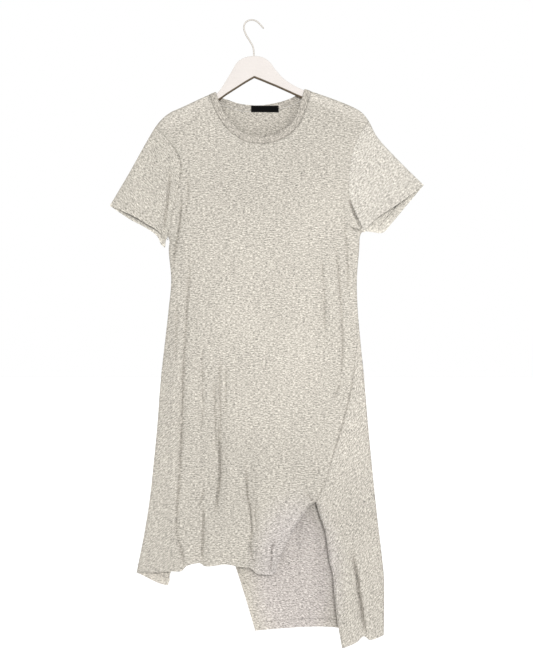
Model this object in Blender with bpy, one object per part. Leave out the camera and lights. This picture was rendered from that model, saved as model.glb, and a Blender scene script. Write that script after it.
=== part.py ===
"""A long T-shirt dress in jersey, hanging on a flat wooden hanger.

Metres, +Z up. The front of the dress faces -Y, and +X is on the viewer's right.
Left and right below are the viewer's. The origin is the highest point inside the
hook, where a rail carries the hanger.

Each cloth panel starts as a flat grid of (x, z) points between its own seams.
half_depth() says how far the outer face of the garment stands from the middle
plane y = 0 at such a point: not at all on the folded edges (shoulders, tops and
undersides of the sleeves, side seams), and most in the middle. Front panels take
that depth towards -Y and back panels towards +Y, so that panels sharing a seam
meet there without a step. The folds scale the same depth up and down.
"""
from collections import namedtuple

import bmesh
import bpy
import numpy as np

# ---------------------------------------------------------------- driving sizes
WALL = 0.0015                # thickness of the jersey
BAND_WALL = 0.0021           # the neckband is doubled
BAND_LIFT = 0.0004           # how far the neckband stands proud of the panels
BAND_WIDTH = 0.0150
BAND_TURN = 0.0350           # length over which the band's ends turn into the shoulder line
SEAM_GAP = 0.0003            # clear space between two sewn pieces
LABEL_WALL = 0.0010
HOOK_RADIUS = 0.0017
HANGER_HALF_THICKNESS = 0.0060
HANGER_CORNER = 0.0045       # rounding of the hanger's long edges

# Rounded rim of the folded edges: half depth reached, and the distance it takes.
BODY_RIM, BODY_RIM_REACH = 0.0060, 0.0060
SHOULDER_RIM, SHOULDER_RIM_REACH = 0.0092, 0.0035
SWELL_REACH = 0.070          # distance over which the swell of the panels builds up
EDGE_BLEND = 6               # how sharply the nearest folded edge wins over the others
TINY = 1e-6

# Additional half depth away from the edges, by height.
Swell = namedtuple("Swell", "z depth")
SWELLS = (
    Swell(-0.150, 0.003),
    Swell(-0.250, 0.008),
    Swell(-0.450, 0.013),
    Swell(-0.700, 0.015),
    Swell(-1.000, 0.019),
    Swell(-1.240, 0.023),
    Swell(-1.420, 0.026),
)

# Where the shoulder rim over the hanger fades into the rim of a sleeve.
HANGER_ENDS = ((-0.235, -0.192), (0.234, 0.276))

# ---------------------------------------------------------------- folded edges
# Each runs from the neck or the sleeve's hem outward or downward, as (x, z).
TOP_LEFT = (
    (-0.083, -0.160), (-0.109, -0.171), (-0.156, -0.193), (-0.185, -0.206),
    (-0.203, -0.220), (-0.2195, -0.240), (-0.239, -0.273), (-0.277, -0.341),
    (-0.321, -0.4155),
)
TOP_RIGHT = (
    (0.1165, -0.1535), (0.153, -0.166), (0.189, -0.179), (0.223, -0.193),
    (0.245, -0.206), (0.261, -0.226), (0.279, -0.260), (0.328, -0.314),
    (0.384, -0.369),
)
SHOULDER_TIPS = ((-0.2195, -0.240), (0.261, -0.226))

SIDE_LEFT = (
    (-0.1965, -0.5085), (-0.1945, -0.493), (-0.1905, -0.485), (-0.1870, -0.493),
    (-0.1885, -0.515), (-0.183, -0.582), (-0.189, -0.650), (-0.198, -0.730),
    (-0.207, -0.811), (-0.214, -0.905), (-0.223, -0.999), (-0.232, -1.080),
    (-0.245, -1.160), (-0.261, -1.239),
)
SIDE_RIGHT = (
    (0.2555, -0.4730), (0.2505, -0.4722), (0.2455, -0.4750), (0.2415, -0.4820),
    (0.239, -0.515), (0.234, -0.582), (0.236, -0.650), (0.243, -0.730),
    (0.250, -0.797), (0.259, -0.905), (0.267, -0.990), (0.279, -1.107),
    (0.290, -1.200), (0.295, -1.250), (0.2955, -1.300), (0.2945, -1.3785),
)
UNDERARMS = ((-0.1905, -0.485), (0.2475, -0.4735))

# ---------------------------------------------------------------- sewn seams
# Inner points of each armhole, from the shoulder tip to the underarm.
ARMHOLES = {
    ("left", "front"): (
        (-0.196, -0.262), (-0.1665, -0.305), (-0.1605, -0.335), (-0.171, -0.392),
        (-0.184, -0.450),
    ),
    ("left", "back"): (
        (-0.203, -0.280), (-0.193, -0.340), (-0.190, -0.400), (-0.190, -0.450),
    ),
    ("right", "front"): (
        (0.243, -0.251), (0.2245, -0.295), (0.216, -0.350), (0.218, -0.405),
        (0.232, -0.445),
    ),
    ("right", "back"): (
        (0.244, -0.275), (0.234, -0.340), (0.232, -0.400), (0.238, -0.448),
    ),
}

# Inner points of the sleeves' hems, from the top fold to the underside.
SLEEVE_HEMS = {
    ("left", "front"): (
        (-0.266, -0.4395), (-0.241, -0.4545), (-0.207, -0.477), (-0.200, -0.494),
    ),
    ("left", "back"): (
        (-0.273, -0.4475), (-0.2455, -0.4615), (-0.214, -0.484), (-0.204, -0.504),
    ),
    ("right", "front"): (
        (0.322, -0.4145), (0.287, -0.437), (0.271, -0.450), (0.2585, -0.463),
    ),
    ("right", "back"): (
        (0.345, -0.4155), (0.3125, -0.4545), (0.292, -0.476), (0.272, -0.475),
    ),
}

# Inner points of the seam under the neckband, from left to right.
NECK_SEAMS = {
    "front": (
        (-0.086, -0.197), (-0.075, -0.2185), (-0.059, -0.240), (-0.041, -0.2565),
        (-0.019, -0.270), (0.008, -0.276), (0.0325, -0.275), (0.057, -0.269),
        (0.0795, -0.2575), (0.0975, -0.241), (0.111, -0.2195), (0.1205, -0.192),
    ),
    "back": (
        (-0.082, -0.183), (-0.059, -0.1915), (-0.037, -0.199), (-0.012, -0.203),
        (0.017, -0.204), (0.044, -0.2005), (0.0705, -0.1945), (0.095, -0.1855),
        (0.114, -0.174),
    ),
}

# Diagonal seam of the front, from the right side seam to the top of the slit.
SEAM_START = (0.2370, -0.677)
DIAGONAL = (
    (0.234, -0.710), (0.230, -0.762), (0.2215, -0.820), (0.211, -0.867),
    (0.199, -0.911), (0.1805, -0.972), (0.1645, -1.028),
)
SLIT_TOP = (0.1415, -1.080)
SLIT_MAIN = (
    (0.127, -1.088), (0.115, -1.106), (0.103, -1.124), (0.092, -1.142),
    (0.076, -1.172), (0.061, -1.204),
)
MAIN_TIP = (0.0515, -1.2385)
SLIT_SIDE = (
    (0.1525, -1.116), (0.162, -1.142), (0.173, -1.217), (0.179, -1.238),
    (0.1825, -1.281), (0.189, -1.342), (0.193, -1.367),
)
SIDE_TIP = (0.200, -1.406)

# Hems, from left to right. The first and last points lie on the side seams.
MAIN_HEM = (
    (-0.183, -1.234), (-0.159, -1.233), (-0.148, -1.222), (-0.1165, -1.216),
    (-0.109, -1.2215), (-0.088, -1.2215), (-0.061, -1.218), (-0.028, -1.224),
    (-0.004, -1.2265), (0.008, -1.2375), (0.038, -1.2415),
)
SIDE_HEM = (
    (0.2345, -1.391), (0.2445, -1.381), (0.251, -1.3795), (0.260, -1.3875),
    (0.274, -1.386),
)
BACK_TIP_LEFT = (-0.191, -1.270)
BACK_SLIT_TOP = (-0.106, -1.075)
BACK_TIP_RIGHT = (0.0055, -1.372)
BACK_HEM_LEFT = ((-0.2095, -1.2655),)
BACK_SLIT_LEFT = ((-0.1835, -1.234), (-0.150, -1.160), (-0.122, -1.098))
BACK_SLIT_RIGHT = ((-0.088, -1.103), (-0.064, -1.162), (-0.040, -1.2245), (-0.013, -1.3095))
BACK_HEM_RIGHT = ((0.077, -1.3665), (0.151, -1.363), (0.2185, -1.3685))

# ---------------------------------------------------------------- folds
# A fold is a ridge with a shallower trough beside it. height is a share of the half
# depth there, and trough is +1 where the trough lies to the right of the ridge.
Fold = namedtuple("Fold", "top bottom x_top x_middle x_bottom half_width height trough")
FOLDS = {
    "front": (
        Fold(-0.480, -1.300, -0.164, -0.179, -0.172, 0.014, 0.26, +1),
        Fold(-0.380, -0.640, -0.143, -0.150, -0.150, 0.012, 0.16, -1),
        Fold(-0.760, -0.990, -0.124, -0.131, -0.138, 0.012, 0.14, +1),
        Fold(-0.760, -1.180, -0.045, -0.052, -0.062, 0.014, 0.26, -1),
        Fold(-1.080, -1.300, -0.092, -0.094, -0.096, 0.013, 0.20, -1),
        Fold(-0.860, -1.330, 0.010, 0.016, 0.026, 0.013, 0.24, -1),
        Fold(-0.520, -0.760, 0.170, 0.180, 0.186, 0.013, 0.16, -1),
        Fold(-0.480, -0.900, 0.162, 0.174, 0.162, 0.014, 0.20, +1),
        Fold(-1.080, -1.460, 0.192, 0.210, 0.233, 0.015, 0.32, +1),
        Fold(-0.340, -0.520, -0.204, -0.206, -0.211, 0.010, 0.22, +1),
        Fold(-0.350, -0.490, 0.238, 0.247, 0.262, 0.010, 0.22, -1),
    ),
    "back": (
        Fold(-0.480, -1.320, -0.112, -0.128, -0.147, 0.015, 0.24, -1),
        Fold(-0.660, -1.200, -0.082, -0.096, -0.104, 0.014, 0.20, +1),
        Fold(-0.840, -1.420, 0.032, 0.044, 0.062, 0.016, 0.28, -1),
        Fold(-0.560, -1.000, 0.052, 0.047, 0.057, 0.015, 0.14, +1),
        Fold(-0.860, -1.440, 0.084, 0.097, 0.105, 0.016, 0.26, +1),
        Fold(-0.520, -1.440, 0.207, 0.218, 0.244, 0.015, 0.24, -1),
        Fold(-0.350, -0.520, -0.172, -0.172, -0.176, 0.011, 0.20, -1),
        Fold(-0.360, -0.490, 0.212, 0.216, 0.225, 0.011, 0.20, +1),
    ),
}
FOLD_FADE = 0.40             # share of a fold's run over which each end fades in
TROUGH_SHARE = 0.30          # depth of the trough against the height of the ridge
TROUGH_OFFSET = 1.6          # distance of the trough from the ridge, in half widths

# ---------------------------------------------------------------- grid steps
# Shares of a boundary at which the rows and columns cross it.
SHOULDER_SHARES = (0.0, 0.018, 0.07, 0.15, 0.27, 0.42, 0.60, 0.80, 1.0)
SHOULDER_ACROSS = (0.27, 0.73)     # where the neckband's seam starts and ends
NECK_SHARES = (
    0.0, 0.003, 0.012, 0.035, 0.080, 0.140, 0.205, 0.275, 0.350, 0.425, 0.500,
    0.575, 0.650, 0.725, 0.795, 0.860, 0.920, 0.965, 0.988, 0.997, 1.0,
)
NECK_SPREAD = 0.35                 # share of a body panel's height over which its columns spread
ARMHOLE_SHARES = (
    0.0, 0.003, 0.012, 0.035, 0.080, 0.150, 0.250, 0.360, 0.480, 0.600, 0.720,
    0.830, 0.920, 0.975, 1.0,
)
ARMHOLE_FADE = (8.0, 4.0)          # power with which an armhole's bulge dies away, high and low
ARMHOLE_FADE_END = 0.60
TOP_FADE = 8                       # the same for the bulges of a patch's top and bottom
BOTTOM_FADE = 3
SIDE_STEPS = 5                     # underarm to the start of the diagonal seam
DIAGONAL_START = 0.006             # length of the first step down the diagonal seam
DIAGONAL_STEPS = 9
SLIT_STEPS = 5
SLIT_SIDE_STEPS = 8
BACK_SIDE_STEPS = 17
BACK_HEM_STEPS = (4, 8, 9, 15)     # left hem, slit left, slit right, right hem
PANEL_ACROSS = (0.0, 0.16, 0.32, 0.48, 0.63, 0.77, 0.88, 0.965, 1.0)
SLEEVE_STEPS = 6
BAND_STEPS = 2

# ---------------------------------------------------------------- neck label
LABEL_X = (-0.0035, 0.0585)
LABEL_Z = (-0.2045, -0.1900)
LABEL_STEPS = 6

# ---------------------------------------------------------------- hanger
# Cross sections of the wooden board, from its left end to its right end. Where top is
# None the board lies just under the shoulder seam.
Section = namedtuple("Section", "x top bottom")
HANGER_SECTIONS = (
    Section(-0.2065, -0.2280, -0.2400),
    Section(-0.2030, -0.2245, -0.2445),
    Section(-0.1850, None, -0.2460),
    Section(-0.1560, None, -0.2275),
    Section(-0.1090, None, -0.1970),
    Section(-0.0850, -0.1672, -0.1815),
    Section(-0.0800, -0.1630, -0.1780),
    Section(-0.0735, -0.1560, -0.1745),
    Section(-0.0595, -0.1345, -0.1645),
    Section(-0.0480, -0.1155, -0.1570),
    Section(-0.0345, -0.0935, -0.1485),
    Section(-0.0190, -0.0835, -0.1385),
    Section(0.0035, -0.0795, -0.1255),
    Section(0.0235, -0.0830, -0.1335),
    Section(0.0390, -0.0940, -0.1400),
    Section(0.0525, -0.1120, -0.1455),
    Section(0.0705, -0.1310, -0.1535),
    Section(0.0970, -0.1480, -0.1655),
    Section(0.1190, None, -0.1750),
    Section(0.1600, None, -0.1930),
    Section(0.1960, None, -0.2085),
    Section(0.2300, None, -0.2230),
    Section(0.2440, -0.2090, -0.2285),
    Section(0.2470, -0.2125, -0.2255),
)
UNDER_SHOULDER = 0.0036      # drop from the shoulder seam to the top of the board
HANGER_TIP_SHARE = 0.55      # thickness of the board's two ends against its middle

# Centre line of the hook, from its stem round to its open end.
HOOK_ROUTE = (
    (0.0030, -0.0790), (0.0010, -0.0600), (-0.0060, -0.0463), (-0.0150, -0.0315),
    (-0.0197, -0.0170), (-0.0175, -0.0062), (-0.0100, 0.0001), (-0.0010, 0.0017),
    (0.0085, -0.0012), (0.0175, -0.0092), (0.0250, -0.0180),
)
HOOK_POINTS = 30

# ---------------------------------------------------------------- colours
Finish = namedtuple("Finish", "colour roughness metallic")
JERSEY = Finish((0.60, 0.57, 0.50), 0.92, 0.0)
FINISHES = {
    "front_main": JERSEY,
    "front_side_panel": Finish((0.58, 0.55, 0.48), 0.92, 0.0),
    "back_panel": Finish((0.57, 0.54, 0.49), 0.92, 0.0),
    "sleeve_left": Finish((0.60, 0.57, 0.51), 0.92, 0.0),
    "sleeve_right": Finish((0.62, 0.59, 0.53), 0.92, 0.0),
    "neckband": Finish((0.54, 0.51, 0.45), 0.94, 0.0),
    "neck_label": Finish((0.012, 0.012, 0.012), 0.75, 0.0),
    "hanger_body": Finish((0.88, 0.86, 0.82), 0.45, 0.0),
    "hanger_hook": Finish((0.55, 0.55, 0.56), 0.25, 1.0),
}


# ================================================================ curves
def smooth_curve(knots, step=0.003):
    """Closely spaced points on a smooth curve through the knots."""
    knots = np.array(knots, dtype=float)
    chord = np.linalg.norm(np.diff(knots, axis=0), axis=1)
    gap = np.sqrt(chord)
    speed = np.diff(knots, axis=0) / gap[:, None]
    tangent = np.empty_like(knots)
    tangent[0], tangent[-1] = speed[0], speed[-1]
    before, after = gap[:-1, None], gap[1:, None]
    tangent[1:-1] = (speed[:-1] * after + speed[1:] * before) / (before + after)
    points = [knots[:1]]
    for i, length in enumerate(chord):
        count = max(2, int(np.ceil(length / step)))
        t = (np.arange(1, count + 1) / count)[:, None]
        points.append(
            (2 * t**3 - 3 * t**2 + 1) * knots[i]
            + (t**3 - 2 * t**2 + t) * gap[i] * tangent[i]
            + (3 * t**2 - 2 * t**3) * knots[i + 1]
            + (t**3 - t**2) * gap[i] * tangent[i + 1]
        )
    return np.concatenate(points)


def lengths(curve):
    """Length along the curve at each of its points."""
    return np.concatenate(([0.0], np.cumsum(np.linalg.norm(np.diff(curve, axis=0), axis=1))))


def at_length(curve, distance):
    """Points at the given lengths along the curve."""
    run = lengths(curve)
    return np.stack([np.interp(distance, run, curve[:, k]) for k in range(curve.shape[1])], axis=-1)


def at_share(curve, share):
    """Points at the given shares of the curve's length."""
    return at_length(curve, np.asarray(share) * lengths(curve)[-1])


def length_near(curve, point):
    """Length along the curve at which it passes nearest to a point."""
    run = lengths(curve)
    fine = np.linspace(0.0, run[-1], 4000)
    return fine[np.linalg.norm(at_length(curve, fine) - np.array(point), axis=1).argmin()]


def even(count):
    """Even shares from 0 to 1."""
    return np.linspace(0.0, 1.0, count + 1)


TOPS = {"left": smooth_curve(TOP_LEFT), "right": smooth_curve(TOP_RIGHT)}
SIDES = {"left": smooth_curve(SIDE_LEFT, 0.0015), "right": smooth_curve(SIDE_RIGHT, 0.0015)}
OUTWARD = {"left": -1.0, "right": 1.0}
TIPS = dict(zip(("left", "right"), SHOULDER_TIPS))
PITS = dict(zip(("left", "right"), UNDERARMS))


# ================================================================ depth of the garment
def from_edge(flat, curve, inward_sign):
    """Distance of flat points from a folded edge, and the inward direction there."""
    step = np.diff(curve, axis=0)
    size = (step**2).sum(axis=1)
    offset = flat[:, None, :] - curve[None, :-1]
    share = np.clip((offset * step).sum(axis=2) / size, 0.0, 1.0)
    miss = offset - share[..., None] * step
    reach = (miss**2).sum(axis=2)
    nearest = reach.argmin(axis=1)
    distance = np.sqrt(reach[np.arange(len(flat)), nearest])
    way = step[nearest] / np.sqrt(size[nearest])[:, None]
    inward = inward_sign * np.stack((-way[:, 1], way[:, 0]), axis=1)
    return distance, inward


EDGES = (
    (TOPS["left"], 1.0, True),
    (TOPS["right"], -1.0, True),
    (SIDES["left"], 1.0, False),
    (SIDES["right"], -1.0, False),
)


def smooth_step(value, low, high):
    """0 below low, 1 above high, and a smooth rise between them."""
    share = np.clip((value - low) / (high - low), 0.0, 1.0)
    return share * share * (3.0 - 2.0 * share)


def rim_profile(flat, over_hanger):
    """Depth and reach of the rounded rim near each flat point."""
    if not over_hanger:
        return BODY_RIM, BODY_RIM_REACH
    x = flat[:, 0]
    (left_out, left_in), (right_in, right_out) = HANGER_ENDS
    share = smooth_step(x, left_out, left_in) * (1.0 - smooth_step(x, right_in, right_out))
    rim = BODY_RIM + (SHOULDER_RIM - BODY_RIM) * share
    reach = BODY_RIM_REACH + (SHOULDER_RIM_REACH - BODY_RIM_REACH) * share
    return rim, reach


def half_depth(flat):
    """Distance of the outer face from the middle plane, before folds."""
    table = sorted(SWELLS)
    swell = np.interp(flat[:, 1], [row.z for row in table], [row.depth for row in table])
    total = np.zeros(len(flat))
    for curve, sign, over_hanger in EDGES:
        distance, _ = from_edge(flat, curve, sign)
        rim, reach = rim_profile(flat, over_hanger)
        depth = rim * np.sqrt(np.tanh(distance / reach)) + swell * np.tanh(distance / SWELL_REACH)
        total += np.maximum(depth, TINY) ** -EDGE_BLEND
    depth = total ** (-1.0 / EDGE_BLEND)
    return np.where(depth < 2.0 * TINY, 0.0, depth)


def fold_change(flat, folds):
    """Relative change of the depth that the folds make."""
    x, z = flat[:, 0], flat[:, 1]
    change = np.zeros(len(flat))
    for fold in folds:
        run = np.clip((fold.top - z) / (fold.top - fold.bottom), 0.0, 1.0)
        middle = (
            fold.x_top * (1.0 - run) * (1.0 - 2.0 * run)
            + fold.x_middle * 4.0 * run * (1.0 - run)
            + fold.x_bottom * run * (2.0 * run - 1.0)
        )
        across = (x - middle) / fold.half_width
        ridge = np.exp(-(across**2))
        trough = np.exp(-((across - TROUGH_OFFSET * fold.trough) ** 2))
        fade = smooth_step(run, 0.0, FOLD_FADE) * (1.0 - smooth_step(run, 1.0 - FOLD_FADE, 1.0))
        change += fold.height * fade * (ridge - TROUGH_SHARE * trough)
    return change


def folded_depth(flat, layer):
    """Distance of the outer face from the middle plane, with its folds."""
    return half_depth(flat) * (1.0 + fold_change(flat, FOLDS[layer]))


def outward_normals(flat, layer, side, depth):
    """Unit normals of the outer face. On a folded edge they lie in the middle plane."""
    probe_step, edge_step = 0.0002, 0.0005
    probe = flat.copy()
    nearest = np.full(len(flat), np.inf)
    push = np.zeros_like(flat)
    for curve, sign, _ in EDGES:
        distance, inward = from_edge(flat, curve, sign)
        closer = distance < nearest
        push[closer] = inward[closer]
        nearest = np.minimum(nearest, distance)
    close = nearest < edge_step
    probe[close] += push[close] * edge_step
    slope = []
    for axis in range(2):
        shift = np.zeros(2)
        shift[axis] = probe_step
        ahead = folded_depth(probe + shift, layer) ** 2
        behind = folded_depth(probe - shift, layer) ** 2
        slope.append((ahead - behind) / (2.0 * probe_step))
    normal = np.stack((-slope[0], 2.0 * side * depth, -slope[1]), axis=1)
    return normal / np.linalg.norm(normal, axis=1)[:, None]


def wall_points(grid, layer, thickness=WALL, lift=0.0, gap=0.0):
    """Outer and inner points of a wall that stands on a flat grid."""
    flat = grid.reshape(-1, 2)
    side = -1.0 if layer == "front" else 1.0
    depth = folded_depth(flat, layer)
    normal = outward_normals(flat, layer, side, depth)
    face = np.stack((flat[:, 0], side * (depth + gap), flat[:, 1]), axis=1)
    outer = face + normal * lift
    inner = outer - normal * thickness
    shape = grid.shape[:2] + (3,)
    return outer.reshape(shape), inner.reshape(shape)


# ================================================================ boundaries
def pull(side, amount):
    """Points at the shoulder tip and underarm, moved along the folded edges.

    A positive amount moves them onto the sleeve, a negative one onto the body.
    """
    top, flank = TOPS[side], SIDES[side]
    shoulder = at_length(top, length_near(top, TIPS[side]) + amount)
    underarm = at_length(flank, length_near(flank, PITS[side]) - amount)
    return shoulder, underarm


def armhole(side, layer, amount):
    """Armhole seam from the shoulder tip down to the underarm."""
    shoulder, underarm = pull(side, amount)
    inner = np.array(ARMHOLES[side, layer]) + (OUTWARD[side] * amount, 0.0)
    curve = smooth_curve([shoulder, *inner, underarm])
    return at_share(curve, ARMHOLE_SHARES)


def sleeve_hem(side, layer):
    """Hem of a sleeve from the top fold to the underside."""
    curve = smooth_curve([TOPS[side][-1], *SLEEVE_HEMS[side, layer], SIDES[side][0]])
    return at_share(curve, ARMHOLE_SHARES)


def neck_seam(layer, amount):
    """Seam under the neckband, from left to right; amount moves it into the neck."""
    ends = [at_length(TOPS[side], BAND_WIDTH - amount) for side in ("left", "right")]
    curve = smooth_curve([ends[0], *NECK_SEAMS[layer], ends[1]])
    seam = at_share(curve, NECK_SHARES)
    seam[1:-1] += amount * inward_of(seam)[1:-1]
    return seam


def inward_of(seam):
    """Unit directions from the neck seam into the neck opening.

    At both ends they turn into the direction along the shoulder.
    """
    way = np.gradient(seam, lengths(seam), axis=0)
    inward = np.stack((-way[:, 1], way[:, 0]), axis=1)
    run = lengths(seam)
    for distance, side in ((run, "left"), (run[-1] - run, "right")):
        along = TOPS[side][0] - at_length(TOPS[side], BAND_WIDTH)
        share = smooth_step(distance, 0.0, BAND_TURN)[:, None]
        inward = share * inward + (1.0 - share) * along / np.linalg.norm(along)
    return inward / np.linalg.norm(inward, axis=1)[:, None]


def shoulder_seam(side):
    """Shoulder seam of the body from the shoulder tip to the neckband."""
    top = TOPS[side]
    tip = length_near(top, TIPS[side]) - SEAM_GAP / 2
    neck = BAND_WIDTH + SEAM_GAP / 2
    return at_length(top, tip + (neck - tip) * np.array(SHOULDER_SHARES))


def flank(side, start, end, shares):
    """Stretch of a side seam between two points that lie on it."""
    curve = SIDES[side]
    first, last = length_near(curve, start), length_near(curve, end)
    return at_length(curve, first + (last - first) * np.asarray(shares))


def body_flank(side, end, shares):
    """Side seam of the body from the underarm down to a point on it."""
    _, underarm = pull(side, -SEAM_GAP / 2)
    return flank(side, underarm, end, shares)


def diagonal_seam(amount):
    """Diagonal seam of the front; amount moves it onto the side panel."""
    curve = smooth_curve([SEAM_START, *DIAGONAL, SLIT_TOP])
    total = lengths(curve)[-1]
    shares = DIAGONAL_START + (total - DIAGONAL_START) * even(DIAGONAL_STEPS)
    return at_length(curve, shares) + (amount, 0.0)


def body_top(layer):
    """Upper boundary of a body panel: shoulder, neckline, shoulder."""
    left, right = shoulder_seam("left"), shoulder_seam("right")[::-1]
    neck = neck_seam(layer, -SEAM_GAP / 2)
    return np.concatenate((left[:-1], neck, right[1:]))


def body_across():
    """Share of the width at which each column of a body panel stands."""
    left, right = SHOULDER_ACROSS
    shares = np.array(SHOULDER_SHARES)
    middle = left + (right - left) * even(len(NECK_SHARES) - 1)
    return np.concatenate((left * shares[:-1], middle, 1.0 - (1.0 - right) * shares[-2::-1]))


def patch(top, bottom, left, right, across):
    """Flat grid between four boundaries, which keep their own points.

    across holds the share of the width of each column, for all rows or row by row.
    """
    run = height_shares(left, right)[:, None, None]
    width = np.broadcast_to(across, (len(left), len(top)))[..., None]
    rows = (1.0 - width) * left[:, None] + width * right[:, None]
    top_bulge, bottom_bulge = top - rows[0], bottom - rows[-1]
    return rows + (1.0 - run) ** TOP_FADE * top_bulge + run**BOTTOM_FADE * bottom_bulge


def height_shares(left, right):
    """Share of the height at which each row stands, as the mean of both sides."""
    return 0.5 * (lengths(left) / lengths(left)[-1] + lengths(right) / lengths(right)[-1])


def body_patch(layer, bottom, flanks):
    """Patch between shoulders, neckline, armholes, the stretches below them and the hem.

    It is ruled between straight lines in place of the armholes, whose bulges are then
    added so that they die away across the panel.
    """
    top = body_top(layer)
    holes = [armhole(side, layer, -SEAM_GAP / 2) for side in ("left", "right")]
    share = np.array(ARMHOLE_SHARES)[:, None]
    chords = [hole[0] + share * (hole[-1] - hole[0]) for hole in holes]
    left, right = (np.concatenate((chord, low)) for chord, low in zip(chords, flanks))

    below_top = (top[:, 0] - top[0, 0]) / (top[-1, 0] - top[0, 0])
    spread = smooth_step(height_shares(left, right), 0.0, NECK_SPREAD)[:, None]
    across = below_top + spread * (body_across() - below_top)
    grid = patch(top, bottom, left, right, across)

    rows = len(share)
    power = np.interp(share, (0.0, ARMHOLE_FADE_END), ARMHOLE_FADE)
    from_left, from_right = (1.0 - across[:rows]) ** power, across[:rows] ** power
    grid[:rows] += from_left[..., None] * (holes[0] - chords[0])[:, None]
    grid[:rows] += from_right[..., None] * (holes[1] - chords[1])[:, None]
    return grid


# ================================================================ flat grids
def front_main_grid():
    left_steps = SIDE_STEPS + 1 + DIAGONAL_STEPS + SLIT_STEPS
    left = body_flank("left", SIDE_LEFT[-1], even(left_steps))[1:]
    seam = diagonal_seam(-SEAM_GAP / 2)
    slit = smooth_curve([seam[-1], *SLIT_MAIN, MAIN_TIP])
    right = np.concatenate((
        body_flank("right", SEAM_START, even(SIDE_STEPS))[1:],
        seam,
        at_share(slit, even(SLIT_STEPS))[1:],
    ))
    hem = smooth_curve([SIDE_LEFT[-1], *MAIN_HEM, MAIN_TIP])
    return body_patch("front", hem_points(hem, left, right, body_across()), (left, right))


def hem_points(hem, left, right, across):
    """Points of a hem at even shares of its width, between the ends of both sides."""
    x = left[-1, 0] + (right[-1, 0] - left[-1, 0]) * across
    points = np.stack((x, np.interp(x, hem[:, 0], hem[:, 1])), axis=1)
    points[0], points[-1] = left[-1], right[-1]
    return points


def front_side_grid():
    across = np.array(PANEL_ACROSS)
    seam = diagonal_seam(SEAM_GAP / 2)
    slit = smooth_curve([seam[-1], *SLIT_SIDE, SIDE_TIP])
    left = np.concatenate((seam, at_share(slit, even(SLIT_SIDE_STEPS))[1:]))
    start = at_length(SIDES["right"], length_near(SIDES["right"], SEAM_START) + DIAGONAL_START)
    right = flank("right", start, SIDE_RIGHT[-1], lengths(left) / lengths(left)[-1])
    hem = smooth_curve([SIDE_TIP, *SIDE_HEM, SIDE_RIGHT[-1]])
    top = left[0] + across[:, None] * (right[0] - left[0])
    return patch(top, hem_points(hem, left, right, across), left, right, across)


def back_grid():
    left = body_flank("left", SIDE_LEFT[-1], even(BACK_SIDE_STEPS))[1:]
    right = body_flank("right", SIDE_RIGHT[-1], even(BACK_SIDE_STEPS))[1:]
    corners = (left[-1], BACK_TIP_LEFT, BACK_SLIT_TOP, BACK_TIP_RIGHT, right[-1])
    between = (BACK_HEM_LEFT, BACK_SLIT_LEFT, BACK_SLIT_RIGHT, BACK_HEM_RIGHT)
    bottom = [left[-1:]]
    for start, inner, end, steps in zip(corners[:-1], between, corners[1:], BACK_HEM_STEPS):
        curve = smooth_curve([start, *inner, end])
        bottom.append(at_share(curve, even(steps))[1:])
    return body_patch("back", np.concatenate(bottom), (left, right))


def sleeve_grid(side, layer):
    across = even(SLEEVE_STEPS)
    shoulder_end = length_near(TOPS[side], TIPS[side]) + SEAM_GAP / 2
    top_length = lengths(TOPS[side])[-1]
    top = at_length(TOPS[side], shoulder_end + (top_length - shoulder_end) * across)
    under_start = length_near(SIDES[side], PITS[side]) - SEAM_GAP / 2
    under = at_length(SIDES[side], under_start * (1.0 - across))
    return patch(top, under, armhole(side, layer, SEAM_GAP / 2), sleeve_hem(side, layer), across)


def band_grid(layer):
    """Neckband, whose first axis runs from left to right and second from seam to edge."""
    seam = neck_seam(layer, SEAM_GAP / 2)
    free = seam + (BAND_WIDTH - SEAM_GAP / 2) * inward_of(seam)
    free[0], free[-1] = TOPS["left"][0], TOPS["right"][0]
    share = even(BAND_STEPS)[None, :, None]
    return seam[:, None] * (1.0 - share) + free[:, None] * share


# ================================================================ meshes
def mesh_object(name, points, faces, collection):
    """Closed mesh object with its faces pointing out and its own material."""
    mesh = bpy.data.meshes.new(name)
    shape = bmesh.new()
    verts = [shape.verts.new(point) for point in points]
    for face in faces:
        shape.faces.new([verts[i] for i in face])
    bmesh.ops.recalc_face_normals(shape, faces=shape.faces)
    shape.to_mesh(mesh)
    shape.free()
    mesh.shade_smooth()
    mesh.set_sharp_from_angle(angle=np.radians(50.0))
    item = bpy.data.objects.new(name, mesh)
    collection.objects.link(item)
    return item


def wall_faces(rows, columns, ring):
    """Quads of a wall: outer grid, inner grid, and the strips that join their edges."""
    inner = rows * columns
    last = rows if ring else rows - 1
    faces = []
    for j in range(last):
        k = (j + 1) % rows
        for i in range(columns - 1):
            a, b = j * columns + i, j * columns + i + 1
            c, d = k * columns + i + 1, k * columns + i
            faces.append((a, b, c, d))
            faces.append((inner + d, inner + c, inner + b, inner + a))
        for i in (0, columns - 1):
            a, d = j * columns + i, k * columns + i
            faces.append((a, d, inner + d, inner + a))
    if not ring:
        for j in (0, rows - 1):
            for i in range(columns - 1):
                a, b = j * columns + i, j * columns + i + 1
                faces.append((a, b, inner + b, inner + a))
    return faces


def wall_object(name, outer, inner, collection, ring=False):
    rows, columns = outer.shape[:2]
    points = np.concatenate((outer.reshape(-1, 3), inner.reshape(-1, 3)))
    return mesh_object(name, points, wall_faces(rows, columns, ring), collection)


def panel(name, grid, layer, collection):
    """Body panel, half a seam gap clear of the middle plane."""
    outer, inner = wall_points(grid, layer, gap=SEAM_GAP / 2)
    return wall_object(name, outer, inner, collection)


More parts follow.
